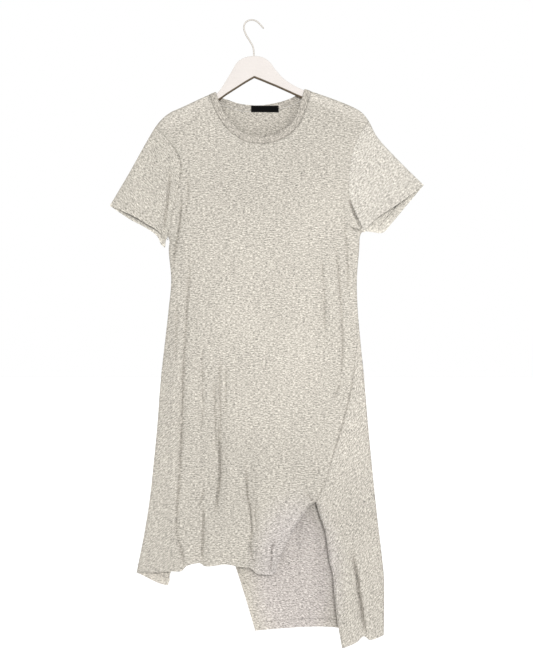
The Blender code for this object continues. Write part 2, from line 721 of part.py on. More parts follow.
def around(name, front, back, collection, thickness=WALL, lift=0.0):
    """Closed ring of a front and a back grid that meet on the folded edges."""
    outer_front, inner_front = wall_points(front, "front", thickness, lift)
    outer_back, inner_back = wall_points(back, "back", thickness, lift)
    outer = np.concatenate((outer_front, outer_back[-2:0:-1]))
    inner = np.concatenate((inner_front, inner_back[-2:0:-1]))
    return wall_object(name, outer, inner, collection, ring=True)


def neck_label(collection):
    """Label on the inner face of the back neckband."""
    x = np.linspace(*LABEL_X, LABEL_STEPS + 1)
    z = np.linspace(*LABEL_Z, 3)
    grid = np.stack(np.meshgrid(x, z), axis=-1)
    below_band = BAND_LIFT - BAND_WALL - SEAM_GAP
    outer, inner = wall_points(grid, "back", LABEL_WALL, lift=below_band)
    return wall_object("neck_label", outer, inner, collection)


def board_top(section):
    """Height of the board's upper edge at a cross section."""
    if section.top is not None:
        return section.top
    shoulder = TOPS["left"][::-1] if section.x < 0.0 else TOPS["right"]
    return np.interp(section.x, shoulder[:, 0], shoulder[:, 1]) - UNDER_SHOULDER


def board_section(section, half_thickness):
    """Points round one cross section of the hanger: a rectangle with rounded corners."""
    top = board_top(section)
    half_height = 0.5 * (top - section.bottom)
    radius = min(HANGER_CORNER, 0.9 * half_height, 0.9 * half_thickness)
    middle = 0.5 * (top + section.bottom)
    points = []
    for corner, (y_sign, z_sign) in enumerate(((1, 1), (-1, 1), (-1, -1), (1, -1))):
        for turn in (0.0, 0.5, 1.0):
            angle = 0.5 * np.pi * (corner + turn)
            y = y_sign * (half_thickness - radius) + radius * np.cos(angle)
            z = middle + z_sign * (half_height - radius) + radius * np.sin(angle)
            points.append((section.x, y, z))
    return points


def hanger_body(collection):
    """Wooden board, lofted through its cross sections and closed at both ends."""
    points = []
    last = len(HANGER_SECTIONS) - 1
    for index, section in enumerate(HANGER_SECTIONS):
        share = HANGER_TIP_SHARE if index in (0, last) else 1.0
        points += board_section(section, HANGER_HALF_THICKNESS * share)
    around_count = len(points) // len(HANGER_SECTIONS)
    faces = []
    for row in range(last):
        for i in range(around_count):
            k = (i + 1) % around_count
            a, b = row * around_count + i, row * around_count + k
            faces.append((a, b, b + around_count, a + around_count))
    faces.append(tuple(range(around_count)))
    faces.append(tuple(last * around_count + i for i in range(around_count)))
    return mesh_object("hanger_body", points, faces, collection)


def hanger_hook(collection):
    """Round wire hook on a smooth route in the middle plane."""
    route = at_share(smooth_curve(HOOK_ROUTE, 0.001), even(HOOK_POINTS - 1))
    data = bpy.data.curves.new("hanger_hook", "CURVE")
    data.dimensions = "3D"
    data.bevel_depth = HOOK_RADIUS
    data.bevel_resolution = 2
    data.use_fill_caps = True
    spline = data.splines.new("POLY")
    spline.points.add(HOOK_POINTS - 1)
    for point, (x, z) in zip(spline.points, route):
        point.co = (x, 0.0, z, 1.0)
    item = bpy.data.objects.new("hanger_hook", data)
    collection.objects.link(item)
    return item


def finish(item):
    """Principled material with the colour, roughness and metallic value of its node."""
    look = FINISHES[item.name]
    material = bpy.data.materials.new(item.name)
    material.use_nodes = True
    shader = material.node_tree.nodes["Principled BSDF"]
    shader.inputs["Base Color"].default_value = (*look.colour, 1.0)
    shader.inputs["Roughness"].default_value = look.roughness
    shader.inputs["Metallic"].default_value = look.metallic
    item.data.materials.append(material)


def build():
    for item in list(bpy.data.objects):
        bpy.data.objects.remove(item)
    parts = bpy.data.collections.new("tshirt_dress_on_hanger")
    bpy.context.scene.collection.children.link(parts)
    origin = bpy.data.objects.new("hanging_point", None)
    parts.objects.link(origin)

    items = [
        panel("front_main", front_main_grid(), "front", parts),
        panel("front_side_panel", front_side_grid(), "front", parts),
        panel("back_panel", back_grid(), "back", parts),
        around("neckband", band_grid("front"), band_grid("back"), parts, BAND_WALL, BAND_LIFT),
        neck_label(parts),
        hanger_body(parts),
        hanger_hook(parts),
    ]
    for side in ("left", "right"):
        grids = sleeve_grid(side, "front"), sleeve_grid(side, "back")
        items.append(around(f"sleeve_{side}", *grids, parts))
    for item in items:
        item.parent = origin
        finish(item)


build()
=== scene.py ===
"""Looks of a long T-shirt dress in heathered jersey, hanging on a flat wooden hanger.

Metres, +Z up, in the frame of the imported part: the front faces -Y, +X is on the viewer's
right and the origin lies inside the hook. Left and right below are the viewer's.

Each cloth piece is a thin shell on the outer form of its own solid and between the same
seams. It adds what the solids leave out: creases, hems, seam grooves, stitches and knit.
"""
from collections import namedtuple

import bmesh
import bpy
import numpy as np
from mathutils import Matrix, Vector


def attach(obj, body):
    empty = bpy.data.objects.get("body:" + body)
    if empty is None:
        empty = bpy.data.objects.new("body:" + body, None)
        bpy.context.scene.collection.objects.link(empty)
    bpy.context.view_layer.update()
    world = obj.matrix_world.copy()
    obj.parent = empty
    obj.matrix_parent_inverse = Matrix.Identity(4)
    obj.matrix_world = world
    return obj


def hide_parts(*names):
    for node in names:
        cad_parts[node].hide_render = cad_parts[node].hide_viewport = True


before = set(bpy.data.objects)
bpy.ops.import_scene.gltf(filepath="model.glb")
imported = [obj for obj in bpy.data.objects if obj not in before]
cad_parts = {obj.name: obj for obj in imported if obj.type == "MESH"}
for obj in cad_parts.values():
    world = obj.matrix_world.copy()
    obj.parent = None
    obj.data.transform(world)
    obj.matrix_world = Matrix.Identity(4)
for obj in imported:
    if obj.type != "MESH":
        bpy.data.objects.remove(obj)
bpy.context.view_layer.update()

# ---------------------------------------------------------------- driving sizes
CLOTH = 0.0009               # thickness of the jersey
BAND_THICKNESS = 0.0018      # the neckband is doubled
BAND_LIFT = 0.0004           # how far the neckband stands proud of the panels
BAND_CROWN = 0.0006          # and how far its middle is raised
BAND_WIDTH = 0.0150
BAND_TURN = 0.0350           # length over which the band's ends turn into the shoulder line
BAND_WALL = 0.0021           # wall of the neckband's solid, which carries the label
BAND_ROUNDING = 6            # how sharply the band's edges turn
BAND_EDGE = 0.02             # square of the share of its thickness that they keep
SEAM_GAP = 0.0003            # clear space between two sewn pieces
HALF_GAP = SEAM_GAP / 2
HANGER_HALF_THICKNESS = 0.0060
HANGER_CORNER = 0.0018       # rounding of the hanger's long upper edges
HANGER_BEVEL = 0.0056        # and of the lower ones
UNDERSIDE_DROP = 0.0035      # the rounded dark underside reaches this far below the white painted face; its darkness is painted shade
HOOK_RADIUS = 0.0017
TINY, SMALLEST = 1e-6, 1e-12     # what counts as no length, and as no size of a normal
HANDS, LAYERS = ("left", "right"), ("front", "back")
OUTWARD = {"left": -1.0, "right": 1.0}     # away from the body along x
OUT = {"front": -1.0, "back": 1.0}         # and out of the garment along y

# Hems and seams.
HEM_WIDTH = 0.0180           # from the edge to the hem's stitching
SLIT_HEM_WIDTH = 0.0090
HEM_RAISE = 0.0004           # the hem is folded double, and stands out by this much
HEM_FOLD = 0.0018            # and adds this much inside
HEM_STEP = 0.0022            # distance over which that step rises
STITCH_GROOVE, STITCH_GROOVE_WIDTH = 0.0006, 0.0016
STITCH_PINCH, THINNEST = 0.0022, 0.0005
SEAM_WIDTH = 0.0022
SEAM_DEPTHS = {
    "diagonal": (0.0010, 0.0014, 0.0030, 0.0034, 0.0012, 0.0022),
    ("neck", "front"): (0.0020,),
    ("neck", "back"): (0.0010,),
    ("left", "front"): (0.0008, 0.0024, 0.0028, 0.0016, 0.0010, 0.0012),
    ("right", "front"): (0.0008, 0.0007, 0.0005, 0.0006, 0.0016, 0.0032),
    ("left", "back"): (0.0012,),
    ("right", "back"): (0.0012,),
}
SLIT_ROLL, ROLL_WIDTH = 0.0055, 0.0030      # how far an edge rolls in, and over what width
SLEEVE_ROLL, SLEEVE_ROLL_WIDTH = 0.0050, 0.0140
STITCH_LENGTH, STITCH_PITCH, STITCH_RADIUS = 0.0026, 0.0036, 0.00026
STITCH_ROWS = (-0.0012, 0.0012)    # twin needle rows beside the hem's line
LOOPER_ROWS = (-0.0012, -0.0004, 0.0004, 0.0012)    # looper threads of the same seam, inside; their dark colour is partly painted shade of the stitch groove
STITCH_PARTS = (0.0, 0.2, 0.8, 1.0)    # shares of a stitch at which its ends and full rings stand
PROBE = 0.0004               # reach of the points that show how the cloth lies under a stitch

# Rounded rim of the folded edges: half depth reached, and the distance it takes.
BODY_RIM, BODY_RIM_REACH = 0.0060, 0.0060
SHOULDER_RIM, SHOULDER_RIM_REACH = 0.0092, 0.0035
SWELL_REACH = 0.070          # distance over which the swell of the panels builds up
EDGE_BLEND = 6               # how sharply the nearest folded edge wins over the others
CREASE_EDGE = 0.0060         # half depth at which creases have their whole size
SHALLOWEST = 0.30            # share of the depth that a crease leaves at least

# Creases narrower than SHARP draw the grid's points in, so that they come out fine.
SHARP = 0.0036
DRAW_SHARE, DRAW_REACH, DRAW_LIMIT = 0.78, 0.0080, 0.0240    # how much, and from how far
DRAW_FADE, DRAW_EDGE = 0.12, 3    # share of a run at its ends, and grid steps at the borders

# Additional half depth away from the edges, as (height, depth) from the bottom up.
SWELLS = (
    (-1.420, 0.026), (-1.240, 0.023), (-1.000, 0.019), (-0.700, 0.015), (-0.450, 0.013),
    (-0.250, 0.008), (-0.150, 0.003),
)

# Where the shoulder rim over the hanger fades into the rim of a sleeve.
HANGER_ENDS = ((-0.235, -0.192), (0.234, 0.276))

# ---------------------------------------------------------------- folded edges
# Each runs from the neck or the sleeve's hem outward or downward, as (x, z).
TOP_LEFT = (
    (-0.083, -0.160), (-0.109, -0.171), (-0.156, -0.193), (-0.185, -0.206), (-0.203, -0.220),
    (-0.2195, -0.240), (-0.239, -0.273), (-0.277, -0.341), (-0.321, -0.4155),
)
TOP_RIGHT = (
    (0.1165, -0.1535), (0.153, -0.166), (0.189, -0.179), (0.223, -0.193), (0.245, -0.206),
    (0.261, -0.226), (0.279, -0.260), (0.328, -0.314), (0.384, -0.369),
)
SHOULDER_TIPS = ((-0.2195, -0.240), (0.261, -0.226))

SIDE_LEFT = (
    (-0.1965, -0.5085), (-0.1945, -0.493), (-0.1905, -0.485), (-0.1870, -0.493), (-0.1885, -0.515),
    (-0.183, -0.582), (-0.189, -0.650), (-0.198, -0.730), (-0.207, -0.811), (-0.214, -0.905),
    (-0.223, -0.999), (-0.232, -1.080), (-0.245, -1.160), (-0.261, -1.239),
)
SIDE_RIGHT = (
    (0.2555, -0.4730), (0.2505, -0.4722), (0.2455, -0.4750), (0.2415, -0.4820), (0.239, -0.515),
    (0.234, -0.582), (0.236, -0.650), (0.243, -0.730), (0.250, -0.797), (0.259, -0.905), (0.267, -0.990),
    (0.279, -1.107), (0.290, -1.200), (0.295, -1.250), (0.2955, -1.300), (0.2945, -1.3785),
)
UNDERARMS = ((-0.1905, -0.485), (0.2475, -0.4735))

# ---------------------------------------------------------------- sewn seams
# Inner points of each armhole, from the shoulder tip to the underarm.
ARMHOLES = {
    ("left", "front"): (
        (-0.196, -0.262), (-0.1665, -0.305), (-0.1605, -0.335), (-0.171, -0.392), (-0.184, -0.450),
    ),
    ("left", "back"): (
        (-0.203, -0.280), (-0.193, -0.340), (-0.190, -0.400), (-0.190, -0.450),
    ),
    ("right", "front"): (
        (0.243, -0.251), (0.2245, -0.295), (0.216, -0.350), (0.218, -0.405), (0.232, -0.445),
    ),
    ("right", "back"): (
        (0.244, -0.275), (0.234, -0.340), (0.232, -0.400), (0.238, -0.448),
    ),
}

# Inner points of the sleeves' hems, from the top fold to the underside.
SLEEVE_HEMS = {
    ("left", "front"): (
        (-0.266, -0.4395), (-0.241, -0.4545), (-0.207, -0.477), (-0.200, -0.494),
    ),
    ("left", "back"): (
        (-0.273, -0.4475), (-0.2455, -0.4615), (-0.214, -0.484), (-0.204, -0.504),
    ),
    ("right", "front"): (
        (0.322, -0.4145), (0.287, -0.437), (0.271, -0.450), (0.2585, -0.463),
    ),
    ("right", "back"): (
        (0.345, -0.4155), (0.3125, -0.4545), (0.292, -0.476), (0.272, -0.475),
    ),
}

# Inner points of the seam under the neckband, from left to right.
NECK_SEAMS = {
    "front": (
        (-0.086, -0.197), (-0.075, -0.2185), (-0.059, -0.240), (-0.041, -0.2565), (-0.019, -0.270),
        (0.008, -0.276), (0.0325, -0.275), (0.057, -0.269), (0.0795, -0.2575), (0.0975, -0.241),
        (0.111, -0.2195), (0.1205, -0.192),
    ),
    "back": (
        (-0.082, -0.183), (-0.059, -0.1915), (-0.037, -0.199), (-0.012, -0.203), (0.017, -0.204),
        (0.044, -0.2005), (0.0705, -0.1945), (0.095, -0.1855), (0.114, -0.174),
    ),
}

# Diagonal seam of the front, from the right side seam to the top of the slit.
SEAM_START = (0.2370, -0.677)
DIAGONAL = (
    (0.234, -0.710), (0.230, -0.762), (0.2215, -0.820), (0.211, -0.867), (0.199, -0.911),
    (0.1805, -0.972), (0.1645, -1.028),
)
SLIT_TOP = (0.1415, -1.080)
SLIT_MAIN = (
    (0.127, -1.088), (0.115, -1.106), (0.103, -1.124), (0.092, -1.142), (0.076, -1.172), (0.061, -1.204),
)
MAIN_TIP = (0.0515, -1.2385)
SLIT_SIDE = (
    (0.1525, -1.116), (0.162, -1.142), (0.173, -1.217), (0.179, -1.238), (0.1825, -1.281),
    (0.189, -1.342), (0.193, -1.367),
)
SIDE_TIP = (0.200, -1.406)

# Hems, from left to right. The first and last points lie on the side seams.
MAIN_HEM = (
    (-0.183, -1.234), (-0.159, -1.233), (-0.148, -1.222), (-0.1165, -1.216), (-0.109, -1.2215),
    (-0.088, -1.2215), (-0.061, -1.218), (-0.028, -1.224), (-0.004, -1.2265), (0.008, -1.2375),
    (0.038, -1.2415),
)
SIDE_HEM = (
    (0.2345, -1.391), (0.2445, -1.381), (0.251, -1.3795), (0.260, -1.3875), (0.274, -1.386),
)
BACK_TIP_LEFT = (-0.191, -1.270)
BACK_SLIT_TOP = (-0.106, -1.075)
BACK_TIP_RIGHT = (0.0055, -1.372)
BACK_HEM_LEFT = ((-0.2095, -1.2655),)
BACK_SLIT_LEFT = ((-0.1835, -1.234), (-0.150, -1.160), (-0.122, -1.098))
BACK_SLIT_RIGHT = ((-0.088, -1.103), (-0.064, -1.162), (-0.040, -1.2245), (-0.013, -1.3095))
BACK_HEM_RIGHT = ((0.077, -1.3665), (0.151, -1.363), (0.2185, -1.3685))

# ---------------------------------------------------------------- folds
# The largest folds, as in the solids: a ridge with a shallower trough beside it. height
# is a share of the half depth, and trough is +1 where the trough lies to the right.
Fold = namedtuple("Fold", "top bottom x_top x_middle x_bottom half_width height trough")
FOLDS = {
    "front": (
        Fold(-0.480, -1.300, -0.164, -0.179, -0.172, 0.014, 0.26, +1),
        Fold(-0.380, -0.640, -0.143, -0.150, -0.150, 0.012, 0.16, -1),
        Fold(-0.760, -0.990, -0.124, -0.131, -0.138, 0.012, 0.14, +1),
        Fold(-0.760, -1.180, -0.045, -0.052, -0.062, 0.014, 0.26, -1),
        Fold(-1.080, -1.300, -0.092, -0.094, -0.096, 0.013, 0.20, -1),
        Fold(-0.860, -1.330, 0.010, 0.016, 0.026, 0.013, 0.24, -1),
        Fold(-0.520, -0.760, 0.170, 0.180, 0.186, 0.013, 0.16, -1),
        Fold(-0.480, -0.900, 0.162, 0.174, 0.162, 0.014, 0.20, +1),
        Fold(-1.080, -1.460, 0.192, 0.210, 0.233, 0.015, 0.32, +1),
        Fold(-0.340, -0.520, -0.204, -0.206, -0.211, 0.010, 0.22, +1),
        Fold(-0.350, -0.490, 0.238, 0.247, 0.262, 0.010, 0.22, -1),
    ),
    "back": (
        Fold(-0.480, -1.320, -0.112, -0.128, -0.147, 0.015, 0.24, -1),
        Fold(-0.660, -1.200, -0.082, -0.096, -0.104, 0.014, 0.20, +1),
        Fold(-0.840, -1.420, 0.032, 0.044, 0.062, 0.016, 0.28, -1),
        Fold(-0.560, -1.000, 0.052, 0.047, 0.057, 0.015, 0.14, +1),
        Fold(-0.860, -1.440, 0.084, 0.097, 0.105, 0.016, 0.26, +1),
        Fold(-0.520, -1.440, 0.207, 0.218, 0.244, 0.015, 0.24, -1),
        Fold(-0.350, -0.520, -0.172, -0.172, -0.176, 0.011, 0.20, -1),
        Fold(-0.360, -0.490, 0.212, 0.216, 0.225, 0.011, 0.20, +1),
    ),
}
FOLD_FADE = 0.40             # share of a fold's run over which each end fades in
TROUGH_SHARE = 0.30          # depth of the trough against the height of the ridge
TROUGH_OFFSET = 1.6          # distance of the trough from the ridge, in half widths

# ---------------------------------------------------------------- creases
# A crease is a narrow trough along its route with a ridge on one side of it: -1 on the
# left of someone who looks down the route from its start, as seen from the front.
Crease = namedtuple("Crease", "depth half_width ridge side route")
CREASE_ROWS = {
    "front": (
        # Long creases of the left side, and the fan above the left hem.
        (0.0044, 0.0025, 0.0014, +1, ((-0.1259, -0.487), (-0.1355, -0.525), (-0.1452, -0.61),
         (-0.1475, -0.65), (-0.151, -0.72), (-0.1548, -0.786), (-0.157, -0.86))),
        (0.0014, 0.0060, 0.0014, +1, ((-0.1548, -0.74), (-0.1568, -0.851), (-0.16, -0.934),
         (-0.165, -1.045), (-0.171, -1.12))),
        (0.0048, 0.0022, 0.0012, +1, ((-0.1535, -0.71), (-0.1548, -0.76), (-0.1575, -0.862),
         (-0.1595, -0.934), (-0.162, -0.974), (-0.165, -1.045), (-0.17, -1.125))),
        (0.0032, 0.0060, 0.0012, -1, ((-0.16, -1.065), (-0.167, -1.12), (-0.16, -1.176),
         (-0.153, -1.25))),
        (0.0048, 0.0023, 0.0012, +1, ((-0.164, -1.01), (-0.169, -1.089), (-0.1705, -1.129),
         (-0.167, -1.165), (-0.158, -1.194), (-0.1535, -1.24))),
        (0.0034, 0.0024, 0.0010, -1, ((-0.17, -0.6), (-0.1712, -0.71), (-0.1738, -0.8))),
        (0.0036, 0.0022, 0.0012, -1, ((-0.07, -0.73), (-0.0744, -0.806), (-0.0724, -0.878),
         (-0.0755, -0.95))),
        (0.0062, 0.0024, 0.0026, -1, ((-0.0745, -0.89), (-0.0752, -0.93), (-0.0733, -0.99),
         (-0.0744, -1.03), (-0.0793, -1.071), (-0.086, -1.13))),
        (0.0010, 0.0080, 0.0016, -1, ((-0.0745, -0.85), (-0.074, -0.96), (-0.079, -1.08))),
        (0.0030, 0.0024, 0.0010, +1, ((-0.0605, -0.76), (-0.0603, -0.838), (-0.062, -0.9))),
        (0.0036, 0.0021, 0.0008, +1, ((-0.087, -0.78), (-0.085, -0.84), (-0.083, -0.91),
         (-0.0815, -0.98))),
        (0.0036, 0.0023, 0.0010, +1, ((-0.1143, -0.7), (-0.1125, -0.8), (-0.113, -0.895),
         (-0.124, -0.945))),
        (0.0039, 0.0022, 0.0012, +1, ((-0.108, -1.045), (-0.1124, -1.066), (-0.124, -1.098))),
        (0.0050, 0.0023, 0.0014, -1, ((-0.112, -1.07), (-0.1104, -1.126), (-0.1124, -1.186),
         (-0.112, -1.235))),
        (0.0012, 0.0055, 0.0008, +1, ((-0.09, -1.11), (-0.087, -1.16), (-0.089, -1.235))),
        (0.0018, 0.0060, 0.0010, -1, ((-0.172, -1.098), (-0.199, -1.127), (-0.232, -1.17))),
        (0.0010, 0.0080, 0.0006, +1, ((-0.196, -0.64), (-0.196, -0.8), (-0.203, -0.96))),
        # The tongue at the tip of the main hem.
        (0.0012, 0.0045, 0.0006, +1, ((-0.004, -0.83), (-0.009, -0.93), (-0.018, -0.99))),
        (0.0050, 0.0019, 0.0016, -1, ((-0.021, -0.965), (-0.015, -1.01), (-0.0114, -1.068),
         (-0.006, -1.09), (-0.0038, -1.12), (-0.0016, -1.144), (-0.006, -1.17), (-0.0038, -1.188),
         (0.0, -1.207), (0.005, -1.232))),
        (0.0026, 0.0020, 0.0008, -1, ((-0.005, -1.16), (-0.0036, -1.188), (0.0, -1.207),
         (0.006, -1.244))),
        (0.0033, 0.0018, 0.0008, -1, ((0.004, -1.08), (0.0058, -1.116), (0.0081, -1.132),
         (0.011, -1.168))),
        (0.0050, 0.0019, 0.0010, -1, ((0.054, -1.156), (0.0457, -1.173), (0.0426, -1.183),
         (0.0419, -1.203), (0.0403, -1.225), (0.039, -1.246))),
        (0.0042, 0.0018, 0.0008, +1, ((0.116, -1.056), (0.1257, -1.066), (0.142, -1.084))),
        # Broad hollow of the belly and the soft creases of the right side.
        (0.0034, 0.0300, 0.0000, -1, ((-0.03, -0.88), (0.066, -0.974), (0.15, -1.075))),
        (0.0036, 0.0023, 0.0010, +1, ((0.152, -0.5), (0.159, -0.61), (0.162, -0.74))),
        (0.0046, 0.0023, 0.0014, -1, ((0.1815, -0.45), (0.1942, -0.602), (0.1982, -0.656), (0.2, -0.764),
         (0.188, -0.85))),
        (0.0036, 0.0022, 0.0010, +1, ((0.203, -0.42), (0.2117, -0.54), (0.213, -0.64))),
        (0.0042, 0.0024, 0.0012, +1, ((0.198, -0.81), (0.187, -0.836), (0.176, -0.852))),
        (0.0014, 0.0035, 0.0008, +1, ((0.209, -0.345), (0.203, -0.4), (0.206, -0.46))),
        # Underarms and sleeves.
        (0.0048, 0.0026, 0.0024, -1, ((-0.186, -0.31), (-0.187, -0.357), (-0.1906, -0.402),
         (-0.1962, -0.443), (-0.199, -0.495))),
        (0.0050, 0.0021, 0.0016, -1, ((-0.157, -0.375), (-0.1595, -0.409), (-0.1629, -0.445),
         (-0.1722, -0.506), (-0.183, -0.575))),
        (0.0033, 0.0025, 0.0010, +1, ((-0.144, -0.335), (-0.146, -0.402), (-0.157, -0.47))),
        (0.0010, 0.0055, 0.0005, -1, ((-0.17, -0.249), (-0.144, -0.271), (-0.12, -0.294))),
        (0.0012, 0.0040, 0.0006, +1, ((-0.214, -0.262), (-0.22, -0.332), (-0.226, -0.405))),
        (0.0009, 0.0045, 0.0005, -1, ((-0.24, -0.3), (-0.246, -0.352), (-0.25, -0.41))),
        (0.0060, 0.0024, 0.0016, -1, ((-0.21, -0.462), (-0.204, -0.488), (-0.2, -0.516))),
        (0.0070, 0.0022, 0.0022, +1, ((0.213, -0.39), (0.22, -0.413), (0.2309, -0.439), (0.25, -0.48))),
        (0.0050, 0.0020, 0.0012, +1, ((0.212, -0.462), (0.234, -0.47), (0.254, -0.475))),
        (0.0020, 0.0035, 0.0010, +1, ((0.228, -0.334), (0.25, -0.358), (0.268, -0.378))),
        (0.0010, 0.0050, 0.0005, -1, ((0.28, -0.3), (0.296, -0.334), (0.3, -0.372))),
        # Side panel.
        (0.0030, 0.0055, 0.0014, +1, ((0.22, -1.14), (0.2249, -1.204), (0.2343, -1.253),
         (0.2406, -1.299), (0.2462, -1.343), (0.256, -1.385))),
        (0.0076, 0.0027, 0.0020, +1, ((0.2225, -1.18), (0.227, -1.218), (0.2343, -1.253),
         (0.2359, -1.275), (0.2406, -1.299), (0.2437, -1.322), (0.248, -1.35), (0.257, -1.4))),
        (0.0010, 0.0070, 0.0006, -1, ((0.262, -0.96), (0.268, -1.06), (0.276, -1.15))),
        (0.0010, 0.0060, 0.0006, -1, ((0.168, -1.11), (0.184, -1.19), (0.204, -1.29))),
    ),
    "back": (
        (0.0036, 0.0023, 0.0014, -1, ((-0.108, -0.52), (-0.121, -0.66), (-0.132, -0.82),
         (-0.15, -1.06))),
        (0.0026, 0.0026, 0.0012, +1, ((-0.089, -0.88), (-0.096, -0.97), (-0.109, -1.082))),
        (0.0014, 0.0060, 0.0007, -1, ((-0.176, -0.7), (-0.183, -0.86), (-0.196, -1.05))),
        (0.0016, 0.0050, 0.0008, +1, ((-0.052, -0.72), (-0.044, -0.9), (-0.03, -1.12))),
        (0.0022, 0.0028, 0.0010, -1, ((0.016, -0.64), (0.026, -0.76), (0.031, -0.93))),
        (0.0020, 0.0034, 0.0010, +1, ((0.07, -0.56), (0.066, -0.64), (0.071, -0.72))),
        (0.0028, 0.0025, 0.0012, +1, ((0.09, -0.7), (0.097, -0.81), (0.103, -0.92), (0.115, -1.075))),
        (0.0016, 0.0050, 0.0007, -1, ((0.158, -0.61), (0.166, -0.76), (0.164, -0.9))),
        (0.0034, 0.0024, 0.0012, -1, ((0.19, -0.58), (0.201, -0.76), (0.209, -0.96), (0.224, -1.22))),
        (0.0012, 0.0070, 0.0006, +1, ((-0.06, -0.3), (-0.044, -0.35), (-0.04, -0.43))),
        (0.0011, 0.0080, 0.0005, -1, ((0.11, -0.28), (0.094, -0.345), (0.088, -0.43))),
        (0.0044, 0.0023, 0.0014, +1, ((-0.158, -0.386), (-0.17, -0.44), (-0.188, -0.482))),
        (0.0026, 0.0030, 0.0008, -1, ((-0.14, -0.45), (-0.152, -0.54), (-0.158, -0.68))),
        (0.0046, 0.0022, 0.0014, -1, ((0.204, -0.372), (0.22, -0.424), (0.243, -0.47))),
        (0.0024, 0.0032, 0.0007, +1, ((0.19, -0.455), (0.196, -0.56), (0.19, -0.7))),
        (0.0014, 0.0045, 0.0006, +1, ((-0.222, -0.29), (-0.23, -0.35), (-0.238, -0.42))),
        (0.0016, 0.0045, 0.0006, -1, ((0.256, -0.3), (0.272, -0.348), (0.284, -0.404))),
        (0.0030, 0.0280, 0.0000, -1, ((-0.02, -0.7), (0.01, -0.83), (0.0, -0.96))),
    ),
}
CREASES = {layer: [Crease(*row) for row in rows] for layer, rows in CREASE_ROWS.items()}
RIDGE_OFFSET, RIDGE_SPREAD = 1.9, 1.3    # of a crease's ridge, in half widths
CREASE_REACH = 5.0                       # how far from its route a crease acts, in half widths
CREASE_STEP = 0.006                      # between the points of its route
CREASE_FADE = 0.30                       # share of a crease's run over which each end fades in

# Low waves of the hanging cloth, as wavelengths across and down.
Ripple = namedtuple("Ripple", "wide tall amplitude start")
RIPPLES = (
    Ripple(0.113, 0.900, 0.0006, 0.4),
    Ripple(0.071, -0.640, 0.0004, 1.9),
    Ripple(0.190, 0.310, 0.0005, 3.1),
    Ripple(-0.260, 0.170, 0.0004, 5.0),
)
RIPPLE_GROWTH = (-0.25, -1.00)           # heights between which the waves grow to their size
RIPPLE_START = 0.25                      # share of it that they have above

# ---------------------------------------------------------------- grid steps
# Shares of a boundary at which the rows and columns cross it, before they are split.
SHOULDER_SHARES = (0.0, 0.018, 0.07, 0.15, 0.27, 0.42, 0.60, 0.80, 1.0)
SHOULDER_ACROSS = (0.27, 0.73)
NECK_SHARES = (
    0.0, 0.003, 0.012, 0.035, 0.080, 0.140, 0.205, 0.275, 0.350, 0.425, 0.500,
    0.575, 0.650, 0.725, 0.795, 0.860, 0.920, 0.965, 0.988, 0.997, 1.0,
)
NECK_SPREAD = 0.35
ARMHOLE_SHARES = (
    0.0, 0.003, 0.012, 0.035, 0.080, 0.150, 0.250, 0.360, 0.480, 0.600, 0.720,
    0.830, 0.920, 0.975, 1.0,
)
ARMHOLE_FADE = (8.0, 4.0)
ARMHOLE_FADE_END = 0.60
TOP_FADE = 8
BOTTOM_FADE = 3
DIAGONAL_START = 0.006
PANEL_ACROSS = (0.0, 0.04, 0.12, 0.22, 0.34, 0.48, 0.62, 0.74, 0.84, 0.92, 0.97, 1.0)
SHOULDER_SPLIT, NECK_SPLIT, ARMHOLE_SPLIT, PANEL_SPLIT = 4, 4, 5, 5
SIDE_STEPS, DIAGONAL_STEPS, SLIT_STEPS, SLIT_SIDE_STEPS = 55, 105, 48, 90
BACK_SIDE_STEPS = 200
BACK_HEM_STEPS = (16, 32, 36, 60)
SLEEVE_STEPS = 60
BAND_STEPS = 10
CURVE_STEP, NECK_STEP, BOARD_STEP, HOOK_STEP = 0.004, 0.002, 0.0015, 0.0008
NEAR_POINTS = 4000           # points tried for the nearest one on a curve
SHARP_ANGLE = 50.0           # degrees between faces from which an edge stays sharp
BLOCK = 2000                 # points measured at a time

# ---------------------------------------------------------------- label, hanger and hook
LABEL_X = (-0.0035, 0.0585)
LABEL_Z = (-0.2045, -0.1900)
LABEL_THICKNESS = 0.0005
LABEL_DEPTH = BAND_LIFT - BAND_WALL - SEAM_GAP    # of its back against the band's outer form
LABEL_EDGE, LABEL_EDGE_WIDTH = 0.55, 0.0012       # share of the thickness at its edges
LABEL_STEPS = (48, 14)
LABEL_THREADS = 7            # stitches at each end of the label
THREAD_INSET, THREAD_LENGTH = 0.0014, 0.0014
THREAD_ENDS = (LABEL_Z[0] + 0.0006, LABEL_Z[1] - 0.0022)    # heights at which they begin

# Painted light where the board shows through the cloth: depth inside its outline, and strength from left
# to right.
PAINTED_LIGHT_EDGE = (-0.003, 0.005)
PAINTED_LIGHT_SHARES = ((-0.10, 0.10), (0.6, 1.0))
# Distances to the left, and down, over which the painted light on the back's tip sets in.
TIP_PAINTED_LIGHT_X, TIP_PAINTED_LIGHT_Z = (0.120, 0.150), (1.220, 1.236)

Section = namedtuple("Section", "x top bottom")
HANGER_SECTIONS = [Section(*row) for row in (
    (-0.2065, -0.2280, -0.2400), (-0.2030, -0.2245, -0.2445), (-0.1850, None, -0.2460),
    (-0.1560, None, -0.2275), (-0.1090, None, -0.1970), (-0.0850, -0.1672, -0.1815),
    (-0.0800, -0.1630, -0.1780), (-0.0735, -0.1560, -0.1745), (-0.0595, -0.1345, -0.1645),
    (-0.0480, -0.1155, -0.1570), (-0.0345, -0.0935, -0.1485), (-0.0190, -0.0835, -0.1385),
    (0.0035, -0.0795, -0.1255), (0.0235, -0.0830, -0.1335), (0.0390, -0.0940, -0.1400),
    (0.0525, -0.1120, -0.1455), (0.0705, -0.1310, -0.1535), (0.0970, -0.1480, -0.1655),
    (0.1190, None, -0.1750), (0.1600, None, -0.1930), (0.1960, None, -0.2085), (0.2300, None, -0.2230),
    (0.2440, -0.2090, -0.2285), (0.2470, -0.2125, -0.2255),
)]
